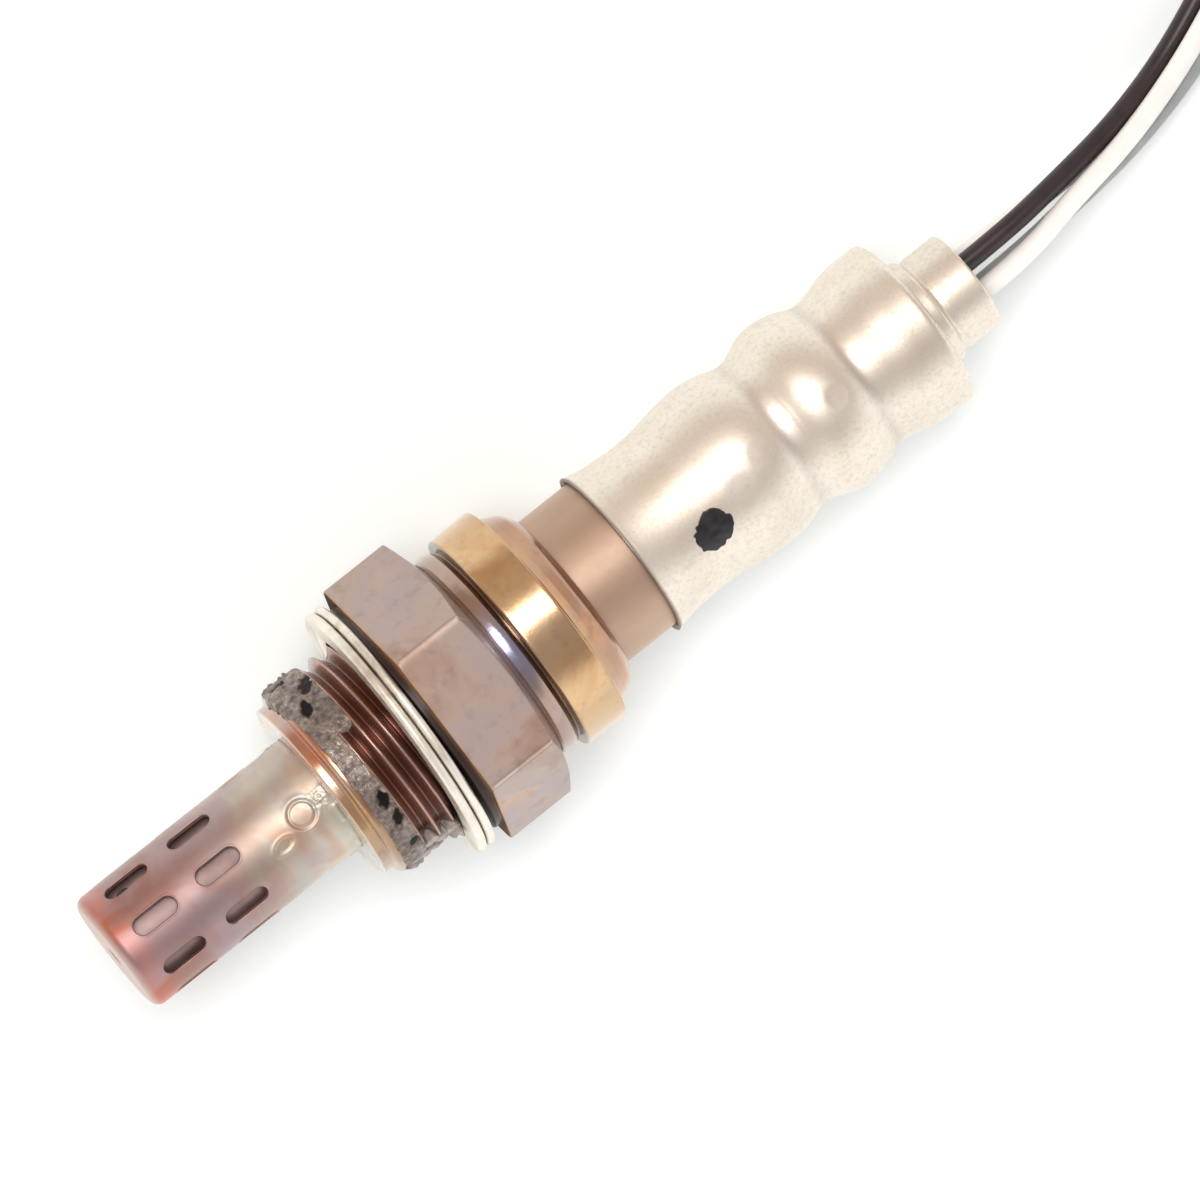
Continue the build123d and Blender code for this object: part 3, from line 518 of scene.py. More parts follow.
def makeThreadedNose():
    # close rows along the thread, then down its relief, along the bore and over the lip
    crest, lip, bore, pilot = thread["crest"], thread["lipRadius"], thread["bore"], thread["pilotEnd"]
    face, relief, tubeBore = shellSizes["washerFace"], thread["relief"], tube["radius"] + 0.05
    step = shellFront - 1.5
    rows = [(a, crest) for a in np.arange(thread["front"], thread["rear"], -0.055)]
    rest = roundedOutline([
        (thread["front"], crest, 0), (-0.7, crest, 0), (-0.9, relief, 0.2), (face, relief, 0), (face, bore, 0),
        (step, bore, 0), (step, tubeBore, 0), (shellFront, tubeBore, 0.12), (shellFront, lip, 0.22),
        (pilot + 0.15, lip, 0.25), (pilot - 0.25, crest - 0.05, 0.35)], 0.12)
    onRows = (rest[:, 1] > crest - 0.001) & (rest[:, 0] <= thread["front"]) & (rest[:, 0] >= thread["rear"])
    rest = withoutRun(rest[~onRows], (face, bore), (step, bore))
    return turnedPiece("threadedNose", np.concatenate([rows, rest]), 400, threadShape, flip=True,
                       marks={"groove": grooveMark})


def hexShape(along, radius, turn):
    # the hexagon is a soft maximum of its six flats, and its corners meet a turned cone at the
    # rear and a small one at the front, each joined by a soft minimum
    s = shellSizes
    flat, sharp, blend = s["hexFlats"] / 2, s["ridgeSharp"], s["edgeBlend"]
    total = sum(np.exp(sharp * (np.cos(turn - k * math.pi / 3) - 1)) for k in range(6))
    corner = flat / math.cos(math.pi / 6)
    slope = (corner - s["coneRadius"]) / (s["hexCorner"] - s["hexRear"])
    limits = (flat / (1 + np.log(total) / sharp), s["coneRadius"] + slope * (along - s["hexRear"]),
              corner - 0.25 + 2.2 * (s["hexFront"] - along))
    edge = 9 - blend * np.log(sum(np.exp((9 - limit) / blend) for limit in limits))
    return along, np.where(radius > 12.0, np.minimum(radius, edge), radius)


def makeHexBody():
    # close rows along the hexagon, then band, groove, collar and rolled lip, and the bore
    s = shellSizes
    bore, face, rear, sleeveBore = thread["bore"], s["washerFaceRadius"], s["hexRear"], s["sleeve"] + s["sleeveGap"]
    rows = [(a, 12.9) for a in np.linspace(s["hexFront"], rear, 90)]
    bandEnd, grooveEnd, collarEnd, step = s["bandEnd"], s["grooveEnd"], s["collarEnd"], s["collarEnd"] + 1
    behind = roundedOutline([
        (rear, s["coneRadius"] + 0.2, 0), (rear - 0.02, 9.5, 0.1), (rear - 0.35, 9.66, 0.3),
        (rear - 0.9, 9.74, 0.8), (bandEnd + 0.35, 9.64, 0.3), (bandEnd, 9.42, 0.12),
        (bandEnd - 0.02, s["grooveRadius"], 0.05), (grooveEnd, s["grooveRadius"], 0.05),
        (grooveEnd, s["collar"], 0.28), (collarEnd + 0.05, s["collar"], 0.22),
        (collarEnd, s["collar"] - 0.75, 0.3), (collarEnd - 0.75, 9.05, 0.5), (collarEnd - 1.7, 8.55, 1.0),
        (shellRear, 7.75, 0.45), (shellRear, sleeveBore, 0.1), (step, sleeveBore, 0),
        (s["washerFace"], bore, 0), (s["washerFace"], face, 0.15), (s["hexFront"] + 0.02, face, 0.06)], 0.14)
    behind = withoutRun(behind, (step, sleeveBore), (s["washerFace"], bore))
    behind = withoutRun(behind, (shellRear + 0.1, sleeveBore), (step, sleeveBore))
    return turnedPiece("hexBody", np.concatenate([rows, behind]), 336, hexShape, flip=True)


def shellFinish():
    # colour, metal and roughness by place along the shell, with darker thread grooves, a painted bluish highlight on
    # the band, and painted highlights and shade at the hex's ridges
    finish = newFinish("heatStainedShell", coat=0.4, coatRough=0.25)
    rearEnd, frontEnd = -18.5, 7.5
    along, around = alongAxis(rearEnd, frontEnd), uvPart(0)

    def byPlace(stops):
        # a ramp whose stops are at millimetres along the sensor
        return colourRamp(along, [((place - rearEnd) / (frontEnd - rearEnd), colour) for place, colour in stops])

    # from -2.47 to -1.5, at the hex's front, painted shade of the gap between the hex and the gasket, with some soot
    colour = byPlace([
        (-18.5, (192, 154, 126)), (-16.6, (200, 160, 126)), (-15.75, (208, 172, 132)), (-15.5, (226, 192, 146)),
        (-12.0, (230, 198, 154)), (-11.6, (96, 72, 62)), (-11.45, (188, 168, 158)), (-9.95, (184, 162, 150)),
        (-9.7, (192, 174, 164)), (-2.8, (194, 176, 166)), (-2.58, (206, 172, 138)), (-2.47, (128, 92, 64)),
        (-2.25, (62, 42, 32)), (-1.5, (62, 42, 34)), (-0.9, (186, 148, 132)), (4.2, (194, 156, 138)),
        (5.8, (146, 108, 78)), (6.6, (186, 134, 96)), (7.2, (196, 156, 118)), (7.5, (204, 160, 104))])
    # the lip's heat colours change round it, with a painted highlight where it faces the lamp, and its front face is
    # painted pale as a painted reflection
    facing = calc("FRACT", calc("ADD", around, 0.5))
    lip = colourRamp(facing, [
        (0.0, (222, 206, 188)), (0.24, (212, 198, 190)), (0.335, (204, 182, 172)), (0.37, (198, 140, 110)),
        (0.43, (210, 148, 112)), (0.47, (232, 204, 176)), (0.50, (204, 168, 130)), (0.58, (190, 160, 122)),
        (0.68, (196, 180, 154)), (0.80, (208, 198, 180)), (1.0, (222, 206, 188))])
    colour = mixed(byPlace([(5.4, 0), (6.3, 0.85)]), colour, lip)
    # the lip's front face: a painted reflection, near white
    colour = mixed(byPlace([(7.3, 0), (7.48, 0.9)]), colour, (250, 242, 226))
    tint = colourRamp(noiseField(95, 4, 0.6, (1, 1, 1), 0.6), [
        (0.30, (204, 176, 160)), (0.43, (226, 218, 214)), (0.54, (218, 216, 230)), (0.66, (244, 222, 206))])
    colour = mixed(0.85, colour, tint, "MULTIPLY")
    # a painted bluish highlight on the band, on the side that faces up towards the lamp
    paintedBandGlint = colourRamp(calc("ABSOLUTE", calc("SUBTRACT", facing, 0.475)), [(0.0, 0.7), (0.025, 0.55), (0.07, 0)])
    onBand = byPlace([(-11.5, 0), (-11.3, 1), (-10.1, 1), (-9.7, 0)])
    colour = mixed(calc("MULTIPLY", paintedBandGlint, onBand), colour, (146, 156, 196))
    # the thread's groove is darker towards its bottom
    grooveDarkening = colourRamp(markOf("groove"), [(0.0, 1.0), (0.5, (196, 178, 170)), (0.95, (168, 142, 132))])
    colour = mixed(1.0, colour, grooveDarkening, "MULTIPLY")
    # painted highlights along the ridges between the flats, with a painted shade line beside each
    ridgeGlintsAndShade = colourRamp(calc("FRACT", calc("MULTIPLY", around, 6)), [
        (0.470, 0.5), (0.484, 0.33), (0.493, 0.9), (0.503, 0.9), (0.512, 0.33), (0.526, 0.5)])
    onHex = byPlace([(-9.5, 0), (-9.2, 1), (-2.9, 1), (-2.7, 0)])
    colour = mixed(calc("MULTIPLY", onHex, 0.55), colour, ridgeGlintsAndShade, "OVERLAY")
    specks = colourRamp(noiseField(620, 5, 0.65), [(0.33, 0.55), (0.46, 1.0)])
    colour = mixed(0.35, colour, specks, "MULTIPLY")
    zones = byPlace([(-18.5, 0.24), (-15.8, 0.21), (-11.7, 0.20), (-9.95, 0.22), (-9.7, 0.50), (-2.6, 0.50),
                     (-2.4, 0.75), (-1.2, 0.6), (-0.8, 0.24), (4.0, 0.24), (7.5, 0.28)])
    uneven = calc("SUBTRACT", noiseField(380, 4, 0.6), 0.5)
    feed(colour=colour, metal=byPlace([(-10.0, 1), (-9.6, 0.6), (-1.5, 0.6), (-0.8, 0.8)]),
         rough=calc("MULTIPLY_ADD", uneven, 0.22, zones), bump=(noiseField(1500, 3, 0.6), 0.22, 0.00003))
    return finish


shellSurface = shellFinish()
for makeShellPart in (makeThreadedNose, makeHexBody):
    dress(makeShellPart(), shellSurface, ["steel_shell"])
print("threaded shell made")

# anti-seize paste on the nose: where it starts and ends, and its thickness
paste = {"front": 6.0, "rear": 4.02, "thickness": 0.10, "grain": 0.07, "least": 0.045, "buried": -1.1,
         "inner": 7.9, "reach": (0.1, 7.1)}
# pits: along, turn in degrees, half length, half width, and lean of the long side in degrees
pits = [(5.17, -84, 0.75, 0.70, 0), (3.5, -66, 1.25, 0.66, 70), (4.74, -51, 0.95, 0.55, 65),
        (4.58, 12, 0.95, 0.52, 80), (4.5, 25, 0.95, 0.46, 65), (4.43, 46, 0.65, 0.50, 50),
        (5.4, 118, 0.6, 0.3, 70), (4.8, 190, 0.5, 0.35, 40), (5.3, 240, 0.7, 0.3, 75)]
# lumps: along, turn in degrees, half width and height
lumps = [(0.75, 80, 0.55, 0.45), (1.2, 95, 0.45, 0.35), (5.9, -94, 0.5, 0.30), (5.3, -99, 0.4, 0.38),
         (4.5, -96, 0.5, 0.34), (4.0, -92, 0.35, 0.42), (0.85, 66, 0.5, 1.1), (1.25, 70, 0.4, 0.7),
         (3.1, 60, 0.7, 0.22), (2.1, 66, 0.7, 0.26), (1.0, 64, 0.75, 0.42), (0.9, 72, 0.5, 0.40),
         (3.6, 72, 0.8, 0.28), (2.7, 79, 0.6, 0.3), (4.8, 84, 0.9, 0.45), (5.6, 96, 0.7, 0.35),
         (5.2, -78, 0.8, 0.30), (4.4, -84, 0.5, 0.30), (1.1, 200, 0.6, 0.4), (2.2, 86, 0.35, 0.25)]


def arcTo(turn, degrees):
    # millimetres round the crest from a turn in degrees
    return thread["crest"] * wrapTurn(turn - math.radians(degrees))


def pitReach(along, turn, pit):
    # 1 on a pit's outline
    place, degrees, long, wide, lean = pit
    return ovalReach(along - place, arcTo(turn, degrees), long, wide, math.radians(lean))


def pasteShape(along, radius, turn):
    # a thin film whose thickness fades at ragged edges, with grain, pits and lumps
    arc = thread["crest"] * turn
    ragged = 0.30 * (bumps(arc * 0.5 + 3, along * 0 + 7, 31) - 0.5) + 0.26 * (bumps(arc * 2, along * 0, 32) - 0.5)
    front = paste["front"] + 0.6 * ragged + 0.8 * bell(wrapTurn(turn + 1.3), 0, 0.42)
    # its rear edge follows the front edge of the thread's first groove
    past = (turn - math.radians(thread["startTurn"])) % fullTurn
    rear = paste["rear"] - thread["pitch"] * past / fullTurn + 0.35 * ragged
    cover = smoothStep(0, 0.22, front - along) * smoothStep(0, 0.22, along - rear)
    grain = bumps(along * 5.2, arc * 5.2 + 60, 41) * 0.55 + bumps(along * 11, arc * 11 + 60, 42) * 0.45
    height = cover * (paste["thickness"] + paste["grain"] * grain) + paste["buried"] * (1 - cover) ** 3
    for pit in pits:
        off = pitReach(along, turn, pit)
        height -= (paste["thickness"] + 0.03) * smoothStep(1.08, 0.80, off) * cover
        height += 0.06 * bell(off, 1.25, 0.2) * cover
    wild = 0.6 + 0.8 * bumps(along * 3 + 11, arc * 3 + 50, 51)
    for place, degrees, size, high in lumps:
        off = np.hypot(along - place, arcTo(turn, degrees)) / size
        lump = high * wild * np.sqrt(np.clip(1 - off * off, 0, 1)) - 0.03
        height = np.maximum(height, np.where(off < 1, lump, paste["buried"]))
    height = np.where(cover > 0.6, np.maximum(height, paste["least"]), height)
    ground = thread["crest"] + (thread["lipRadius"] - thread["crest"]) * smoothStep(6.35, 6.75, along)
    return along, np.where(radius > 8.3, ground + height, radius)


def pitShadeMark(along, radius, turn):
    # 1 inside the pits, where painted shade darkens the film, with uneven outlines
    uneven = 0.72 + 0.56 * bumps(along * 3.1 + 7, turn * 27 + 60, 33)
    return np.max([smoothStep(1.04, 0.70, pitReach(along, turn, pit) * uneven) for pit in pits], axis=0)


def crumbMark(along, radius, turn):
    # 1 on the loose lumps on the thread, which are paler
    return np.any([np.hypot(along - place, arcTo(turn, degrees)) < size
                   for place, degrees, size, high in lumps if place < 4], axis=0)


def makePaste():
    low, high = paste["reach"]
    rows = [(a, thread["crest"]) for a in np.arange(high, low, -0.045)]
    return turnedPiece("antiSeizePaste", np.array(rows + [(low, paste["inner"]), (high, paste["inner"])]), 520,
                       pasteShape, flip=True, marks={"pitShade": pitShadeMark, "crumb": crumbMark})


def pasteFinish():
    # grey grains, painted shade in the pits, and paler on the crumbs
    finish = newFinish("greyPaste", metal=0.7)
    grain = noiseField(1500, 4, 0.7)
    colour = colourRamp(grain, [(0.34, (104, 92, 86)), (0.50, (138, 126, 118)), (0.62, (162, 150, 142)),
                                (0.74, (210, 200, 192))])
    patches = colourRamp(noiseField(260, 3, 0.6), [(0.40, 0.62), (0.60, 1.0)])
    colour = mixed(0.7, colour, patches, "MULTIPLY")
    colour = mixed(calc("MULTIPLY", markOf("crumb"), 0.45), colour, (204, 196, 188))
    colour = mixed(markOf("pitShade"), colour, (20, 12, 12))
    feed(colour=colour, rough=spread(grain, 0.55, 0.3, 0.35, 0.7), bump=(noiseField(2300, 3, 0.7), 1.0, 0.0001))
    return finish


dress(makePaste(), pasteFinish())
print("paste made")

# crush gasket: a folded strip with an open slit round its rim, a little cocked, in degrees
gasket = {"bore": 9.25, "radius": 11.75, "ahead": 0.86, "behind": 0.80, "slit": 0.11, "web": 10.4,
          "centre": -0.72, "cocked": 1.75, "waves": 0.02}
tab = {"turn": -96, "sweep": 25, "radius": 10.5, "fall": 1.25, "along": -0.25, "length": 1.1, "width": 0.75,
       "thickness": 0.07}


def gasketShape(along, radius, turn):
    # slight waves round the rim, and the ring cocked about the upright
    wave = gasket["waves"] * (bumps(turn * 3 / math.pi + 2, radius * 0 + 5, 61, 6) - 0.5) * (radius > 10.4)
    return along + wave + gasket["centre"] + math.tan(math.radians(gasket["cocked"])) * radius * np.sin(turn), radius


def makeGasket():
    # the folded strip's section, with a round lobe each side of the slit
    ahead, behind, bore, radius, web = (gasket[key] for key in ("ahead", "behind", "bore", "radius", "web"))
    gap = gasket["slit"] / 2
    lobe, rearLobe = (ahead - gap) * 0.49, (behind - gap) * 0.49
    outline = roundedOutline([
        (ahead, bore, 0.25), (ahead, radius, lobe), (gap, radius, lobe), (gap, web, 0.03), (-gap, web, 0.03),
        (-gap, radius, rearLobe), (-behind, radius, rearLobe), (-behind, bore, 0.25)], 0.16)
    return turnedPiece("gasketRing", outline, 320, gasketShape, height=outline[:, 1] / 20)


def makeTab():
    # a pointed strip from the gasket's bore edge to the first crest: a flat oval carried along
    # its middle line, narrowing to the point
    rows, columns = 24, 28
    u, around = np.meshgrid(np.linspace(0, 1, rows), np.linspace(0, fullTurn, columns + 1), indexing="ij")
    wide = tab["width"] * np.sqrt(1 - u) + 0.02
    turn = np.radians(tab["turn"] + tab["sweep"] * u)
    radius = tab["radius"] - tab["fall"] * smoothStep(0, 1, u) + tab["thickness"] * np.sin(around)
    along = tab["along"] + tab["length"] * u + wide * (np.cos(around) - 1) / 2
    return gridPiece("gasketTab", laidPoints(along, radius, turn)[:, :-1], closedColumns=True,
                     uv=np.stack([around / fullTurn, u], axis=-1))


gasketSurface = mottledFinish(
    "gasketSteel", (260, 4, 0.6, (1, 1, 1), 0.5), [(0.3, (200, 188, 172)), (0.5, (234, 228, 217)),
                                                   (0.7, (242, 237, 229))],
    ((1300, 3, 0.6), 0.15, 0.00002), metal=1.0, rough=0.48)
for makeGasketPart in (makeGasket, makeTab):
    dress(makeGasketPart(), gasketSurface, ["gasket_ring"])
print("gasket made")

# lower sleeve, a plain tube from inside the shell to inside the cover
sleeveSizes = {"wall": 0.4, "necked": 6.68, "neckedBore": 6.3, "intoShell": 1.2, "intoCover": 4.0}


def makeSleeve():
    s, wall = shellSizes["sleeve"], sleeveSizes["wall"]
    front, rear = shellRear + sleeveSizes["intoShell"], coverFront - sleeveSizes["intoCover"]
    outline = roundedOutline([
        (front, s, 0), (coverFront, s, 0.4), (rear, sleeveSizes["necked"], 0.4),
        (rear, sleeveSizes["neckedBore"], 0.1), (coverFront, s - wall, 0.3), (front, s - wall, 0)], 0.25)
    return turnedPiece("lowerSleeve", outline, 200, flip=True)


sleeveSurface = mottledFinish(
    "brownedSleeve", (120, 3, 0.5, (0.5, 1, 1)), [(0.3, (178, 150, 130)), (0.55, (192, 164, 144)),
                                                  (0.75, (200, 176, 158))],
    ((2600, 3, 0.6), 0.18, 0.00002), ((900, 4, 0.6), 0.46, 0.60), metal=0.95, coat=0.3, coatRough=0.4)
dress(makeSleeve(), sleeveSurface, ["lower_sleeve"])

# crimped cover; its stations are the place behind the front edge, and the radius there
coverSizes = {"wall": 0.4, "edge": 7.6, "corner": 1.2, "length": 30.65, "last": 7.74, "collarRoot": 4.85,
              "crimp": 1.55, "exit": 4.43, "exitLength": 5.3, "easing": 0.5}
valley, bulgeOne, neckOne = (5.0, 7.12), (11.6, 7.74), (15.3, 6.9)
bulgeTwo, neckTwo, bulgeThree = (19.4, 7.98), (23.05, 6.9), (28.1, 7.74)
# dents: place, turn in degrees, size and height
dents = [(20.6, -4.0, 0.95, -0.10), (10.0, 4.0, 1.2, -0.05), (13.0, -6.0, 1.1, -0.05)]


def arcFrom(place, level, through):
    # a circle's arc that is level at one point and passes through another
    run, gain = through[0] - level[0], through[1] - level[1]
    bend = (run * run + gain * gain) / (2 * gain)
    drop = np.sqrt(np.clip(bend ** 2 - (place - level[0]) ** 2, 0, None))
    return level[1] + bend - math.copysign(1, bend) * drop


def coverRadius(place):
    # an arc to the valley, then two equal arcs up to each bulge and one arc down to each neck
    arcs = [(valley[0], valley, (0, coverSizes["edge"]))]
    for low, high, neck in ((valley, bulgeOne, neckOne), (neckOne, bulgeTwo, neckTwo), (neckTwo, bulgeThree, None)):
        half = ((low[0] + high[0]) / 2, (low[1] + high[1]) / 2)
        arcs += [(half[0], low, half), (high[0], high, half)] + ([(neck[0], high, neck)] if neck else [])
    return np.select([place < end for end, level, through in arcs],
                     [arcFrom(place, level, through) for end, level, through in arcs], bulgeThree[1])


def softCover(place):
    # the same line with its creases eased over half a millimetre each way
    shifts = np.linspace(-coverSizes["easing"], coverSizes["easing"], 11)
    return sum(coverRadius(np.clip(place + d, 0, coverSizes["length"])) for d in shifts) / len(shifts)


def coverWaves(place, turn):
    # slight unevenness of the drawn metal
    return 0.05 * (bumps(place * 0.35 + 4, turn * 4 / math.pi + 10, 71, 8) - 0.5)


def coverMarks(along, radius, turn):
    # shallow tool lines beside the necks, small dents, slight waves and a torn front edge
    place = coverFront - along
    outer = radius > coverRadius(np.clip(place, 0, coverSizes["length"])) - 0.1
    height = 0.012 * (bell(place, 16.9, 0.16) + bell(place, 24.6, 0.16)) + coverWaves(place, turn)
    for where, degrees, size, high in dents:
        off = np.hypot(place - where, coverSizes["edge"] * wrapTurn(turn - math.radians(degrees))) / size
        height = height + high * np.exp(-(off ** 4) * 1.2)
    onBody = (place > 0.3) & (place < coverSizes["length"] - 1.0)
    flare = 0.14 * np.exp(-place / 0.22) * (0.7 + 0.6 * bumps(turn * 6, place * 0 + 2, 72))
    return along, radius + outer * onBody * height + flare * (place < 1.0)


def makeCover():
    c = coverSizes
    wall, corner, last, root, out = c["wall"], c["corner"], c["last"], c["collarRoot"], c["exit"]
    places = np.linspace(0, c["length"] - corner - 0.05, 230)
    outer = np.stack([coverFront - places, softCover(places)], 1)
    back = coverFront - c["length"]
    rootEnd, end = back - c["crimp"], back - c["exitLength"]
    shoulder = roundedOutline([
        (back + corner + 0.02, last, 0), (back, last, corner), (back, root + 0.05, 0.35),
        (rootEnd + 0.35, root - 0.02, 0.25), (rootEnd - 0.05, out - 0.16, 0.2), (rootEnd - 0.55, out, 0.3),
        (end, out, 0.3), (end, out - wall, 0.1), (rootEnd, out - wall, 0), (back + wall, out - wall, 0),
        (back + wall, last - wall, 0.8), (back + corner + 0.02, last - wall, 0)], 0.16)
    inner = outer[::-6] - [0, wall]
    edge = [(coverFront, c["edge"] - wall + 0.05), (coverFront + 0.03, c["edge"] - 0.2)]
    return turnedPiece("upperCover", np.concatenate([outer, shoulder[:-1], inner, edge]), 240, coverMarks, flip=True)


def coverFinish():
    # pale metal with fine specks
    finish = newFinish("drawnCover", metal=1.0)
    grain = noiseField(2500, 5, 0.7)
    colour = colourRamp(noiseField(90, 3, 0.5), [(0.3, (220, 209, 195)), (0.55, (232, 223, 211)),
                                                 (0.75, (222, 210, 193))])
    specks = colourRamp(grain, [(0.34, 0.84), (0.52, 1.0)])
    colour = mixed(0.8, colour, specks, "MULTIPLY")
    # a brown edge line where the drawn metal was cut, and painted shade a little darker at the creases
    shown = 30
    along = alongAxis(coverFront - shown, coverFront)
    rim = colourRamp(along, [(0.990, 0), (0.997, 1)])
    colour = mixed(calc("MULTIPLY", rim, 0.75), colour, (96, 70, 54))
    stops = []
    for neck, strength in ((neckTwo, 0.3), (neckOne, 0.26)):
        crease = 1 - neck[0] / shown
        stops += [(crease - 0.03, 0), (crease, strength), (crease + 0.025, 0)]
    colour = mixed(colourRamp(along, stops), colour, (168, 154, 158))
    feed(colour=colour, rough=spread(grain, 0.50, 0.36, 0.3, 0.7), bump=(grain, 0.30, 0.00003))
    return finish


dress(makeCover(), coverFinish(), ["upper_cover"])
print("sleeve and cover made")

# black paint dot on the cover
dot = {"place": 6.4, "turn": 14.6, "radius": 1.72, "thickness": 0.05, "along": 1.06, "across": 0.94}


def makeDot():
    # a disc of polar rings laid on the cover, its edge ragged and turned in under the surface
    angle = np.linspace(0, fullTurn, 180, endpoint=False)
    ring = np.concatenate([np.linspace(0, 1, 26), [1.03, 1.05]])
    rings, angles = np.meshgrid(ring, angle, indexing="ij")
    ragged = 1 + 0.16 * (bumps(angles * 0 + 1, angles * 16 / math.pi, 81, 32) - 0.5) \
        + 0.24 * (bumps(angles * 0 + 3, angles * 5 / math.pi, 82, 10) - 0.5)
    size = dot["radius"] * np.minimum(rings, 1.02) * ragged
    place = dot["place"] + size * np.cos(angles) * dot["along"]
    turn = math.radians(dot["turn"]) + size * np.sin(angles) * dot["across"] / valley[1]
    lift = dot["thickness"] * (rings <= 1) * (0.7 + 0.5 * bumps(place * 2.4, turn * 18 + 30, 83))
    lift = np.where(rings > 1.04, -0.1, lift) + softCover(place) + coverWaves(place, turn)
    return gridPiece("paintDot", laidPoints(coverFront - place, lift, turn), closedColumns=True)


dress(makeDot(), mottledFinish("blackPaint", (700, 4, 0.6), [(0.35, (14, 11, 14)), (0.65, (44, 38, 42))],
                               ((900, 3, 0.6), 0.5, 0.00006), rough=0.32, specular=0.5))

# wires, in metres: from the cover through a tied coil of stacked turns to the plug
wireLook = {"diameter": 0.00175, "length": 0.245}
coilPlan = {"centre": (-0.1058, 0.00145, 0), "radius": 0.0125, "bundle": 0.00127, "layer": 0.00435,
            "sweep": 764, "perTurn": 26, "climbs": (248, 608), "climb": 70, "twists": 1,
            "enter": 24.0, "leave": -20.0, "stub": 0.0115, "grow": 1 / 0.9925}
lead = {"exitRun": 0.0045, "exitPitch": 0.00135, "gateRun": 0.007, "tailRun": 0.0068, "inside": 0.002,
        "plugEntry": (-0.1425, -0.003), "plugHeight": 0.0062, "plugPitch": 0.002}
# each wire: its sides of +Y and +Z where it leaves, its angle in the bundle, and free points
wires = {
    "black": ((-1, 1), 180, [(-0.0695, -0.00170, -0.00515), (-0.0765, -0.00220, -0.00730)]),
    "white_1": ((1, 1), 90, [(-0.0695, 0.00020, -0.00465), (-0.0765, -0.00060, -0.00640)]),
    "grey": ((1, -1), 0, [(-0.0695, 0.00075, -0.00655), (-0.0765, 0.00030, -0.00800)]),
    "white_2": ((-1, -1), 270, [(-0.0695, -0.00115, -0.00705), (-0.0765, -0.00115, -0.00910)]),
}


def compass(degrees):
    # a heading on the floor, turned from -X towards -Y, and the way to its right
    ahead = np.array([-math.cos(math.radians(degrees)), -math.sin(math.radians(degrees)), 0])
    return ahead, np.array([ahead[1], -ahead[0], 0])


def coilPoints(angle):
    # stacked turns, clockwise from above, that climb a layer at a time; each wire keeps its
    # place in the twisting bundle
    plan = coilPlan
    ahead = compass(plan["enter"])[0]
    swept = np.linspace(0, plan["sweep"], int(plan["sweep"] / 360 * plan["perTurn"]) + 1)
    turned = np.radians(swept)
    climb = sum(smoothStep(low, low + plan["climb"], swept) for low in plan["climbs"])
    out = np.stack([ahead[0] * np.sin(turned) - ahead[1] * np.cos(turned),
                    ahead[0] * np.cos(turned) + ahead[1] * np.sin(turned), 0 * turned], axis=1)
    roll = np.radians(angle + 360 * plan["twists"] * smoothStep(20, plan["sweep"] - 20, swept))
    across = plan["radius"] * plan["grow"] - plan["bundle"] * np.cos(roll)
    height = floorHeight + plan["layer"] * (0.5 + climb) + plan["bundle"] * np.sin(roll)
    return plan["centre"] + out * across[:, None] + height[:, None] * [0, 0, 1]


def gate(side, layer, degrees, angle):
    # where a wire enters or leaves the coil: on the coil's left, a stub before or after it
    ahead, right = compass(degrees)
    bundle = right * math.cos(math.radians(angle)) + [0, 0, math.sin(math.radians(angle))]
    return (coilPlan["centre"] - right * coilPlan["radius"] + side * ahead * coilPlan["stub"]
            + [0, 0, floorHeight + coilPlan["layer"] * layer] + bundle * coilPlan["bundle"]), ahead


def wirePoints(side, angle, free):
    # from inside the cover by the free points and the coil to inside the plug
    axis = np.array([math.cos(tipUp), 0, math.sin(tipUp)])
    up = np.array([-math.sin(tipUp), 0, math.cos(tipUp)])
    start = axis * coverEnd * mm + lead["exitPitch"] * (side[1] * up + [0, side[0], 0])
    gateIn, enter = gate(-1, 0.5, coilPlan["enter"], angle)
    gateOut, leave = gate(1, 2.5, coilPlan["leave"], angle)
    entry = np.array([*lead["plugEntry"], floorHeight + lead["plugHeight"]])
    entry += [0, side[0] * lead["plugPitch"], side[1] * lead["plugPitch"]]
    stub = coilPlan["stub"] * 0.6
    points = [start + axis * lead["inside"], start - axis * lead["exitRun"], *free,
              gateIn - enter * lead["gateRun"], gateIn, gateIn + enter * stub, *coilPoints(angle),
              gateOut - leave * stub, gateOut, gateOut + leave * lead["tailRun"],
              entry + [lead["tailRun"], 0, 0], entry - [lead["inside"], 0, 0]]
    return np.array(points), start


def makeWire(name, points):
    curve = bpy.data.curves.new("wire_" + name + "_lead", "CURVE")
    curve.dimensions = "3D"
    curve.bevel_depth = wireLook["diameter"] / 2
    curve.bevel_resolution = 6
    curve.resolution_u = 6
    curve.use_fill_caps = True
    spline = curve.splines.new("NURBS")
    spline.points.add(len(points) - 1)
    spline.points.foreach_set("co", np.insert(points, 3, 1, axis=1).ravel())
    spline.order_u = 3
    spline.use_endpoint_u = True
    return placed("lead_" + name, curve)


def sleeving(name, dark, light, rough):
    return mottledFinish(name, (420, 3, 0.55), [(0.3, dark), (0.7, light)], ((2200, 3, 0.6), 0.12, 0.00003),
                         rough=rough, specular=0.5)


whiteSleeving = sleeving("whiteSleeving", (244, 243, 240), (250, 250, 248), 0.42)
wireFinishes = {
    "black": (sleeving("blackSleeving", (32, 22, 25), (54, 40, 43), 0.36), "black_sleeving"),
    "grey": (sleeving("greySleeving", (146, 148, 148), (164, 166, 165), 0.42), "grey_sleeving"),
    "white_1": (whiteSleeving, "white_sleeving"),
    "white_2": (whiteSleeving, "white_sleeving"),
}
print("wires next")


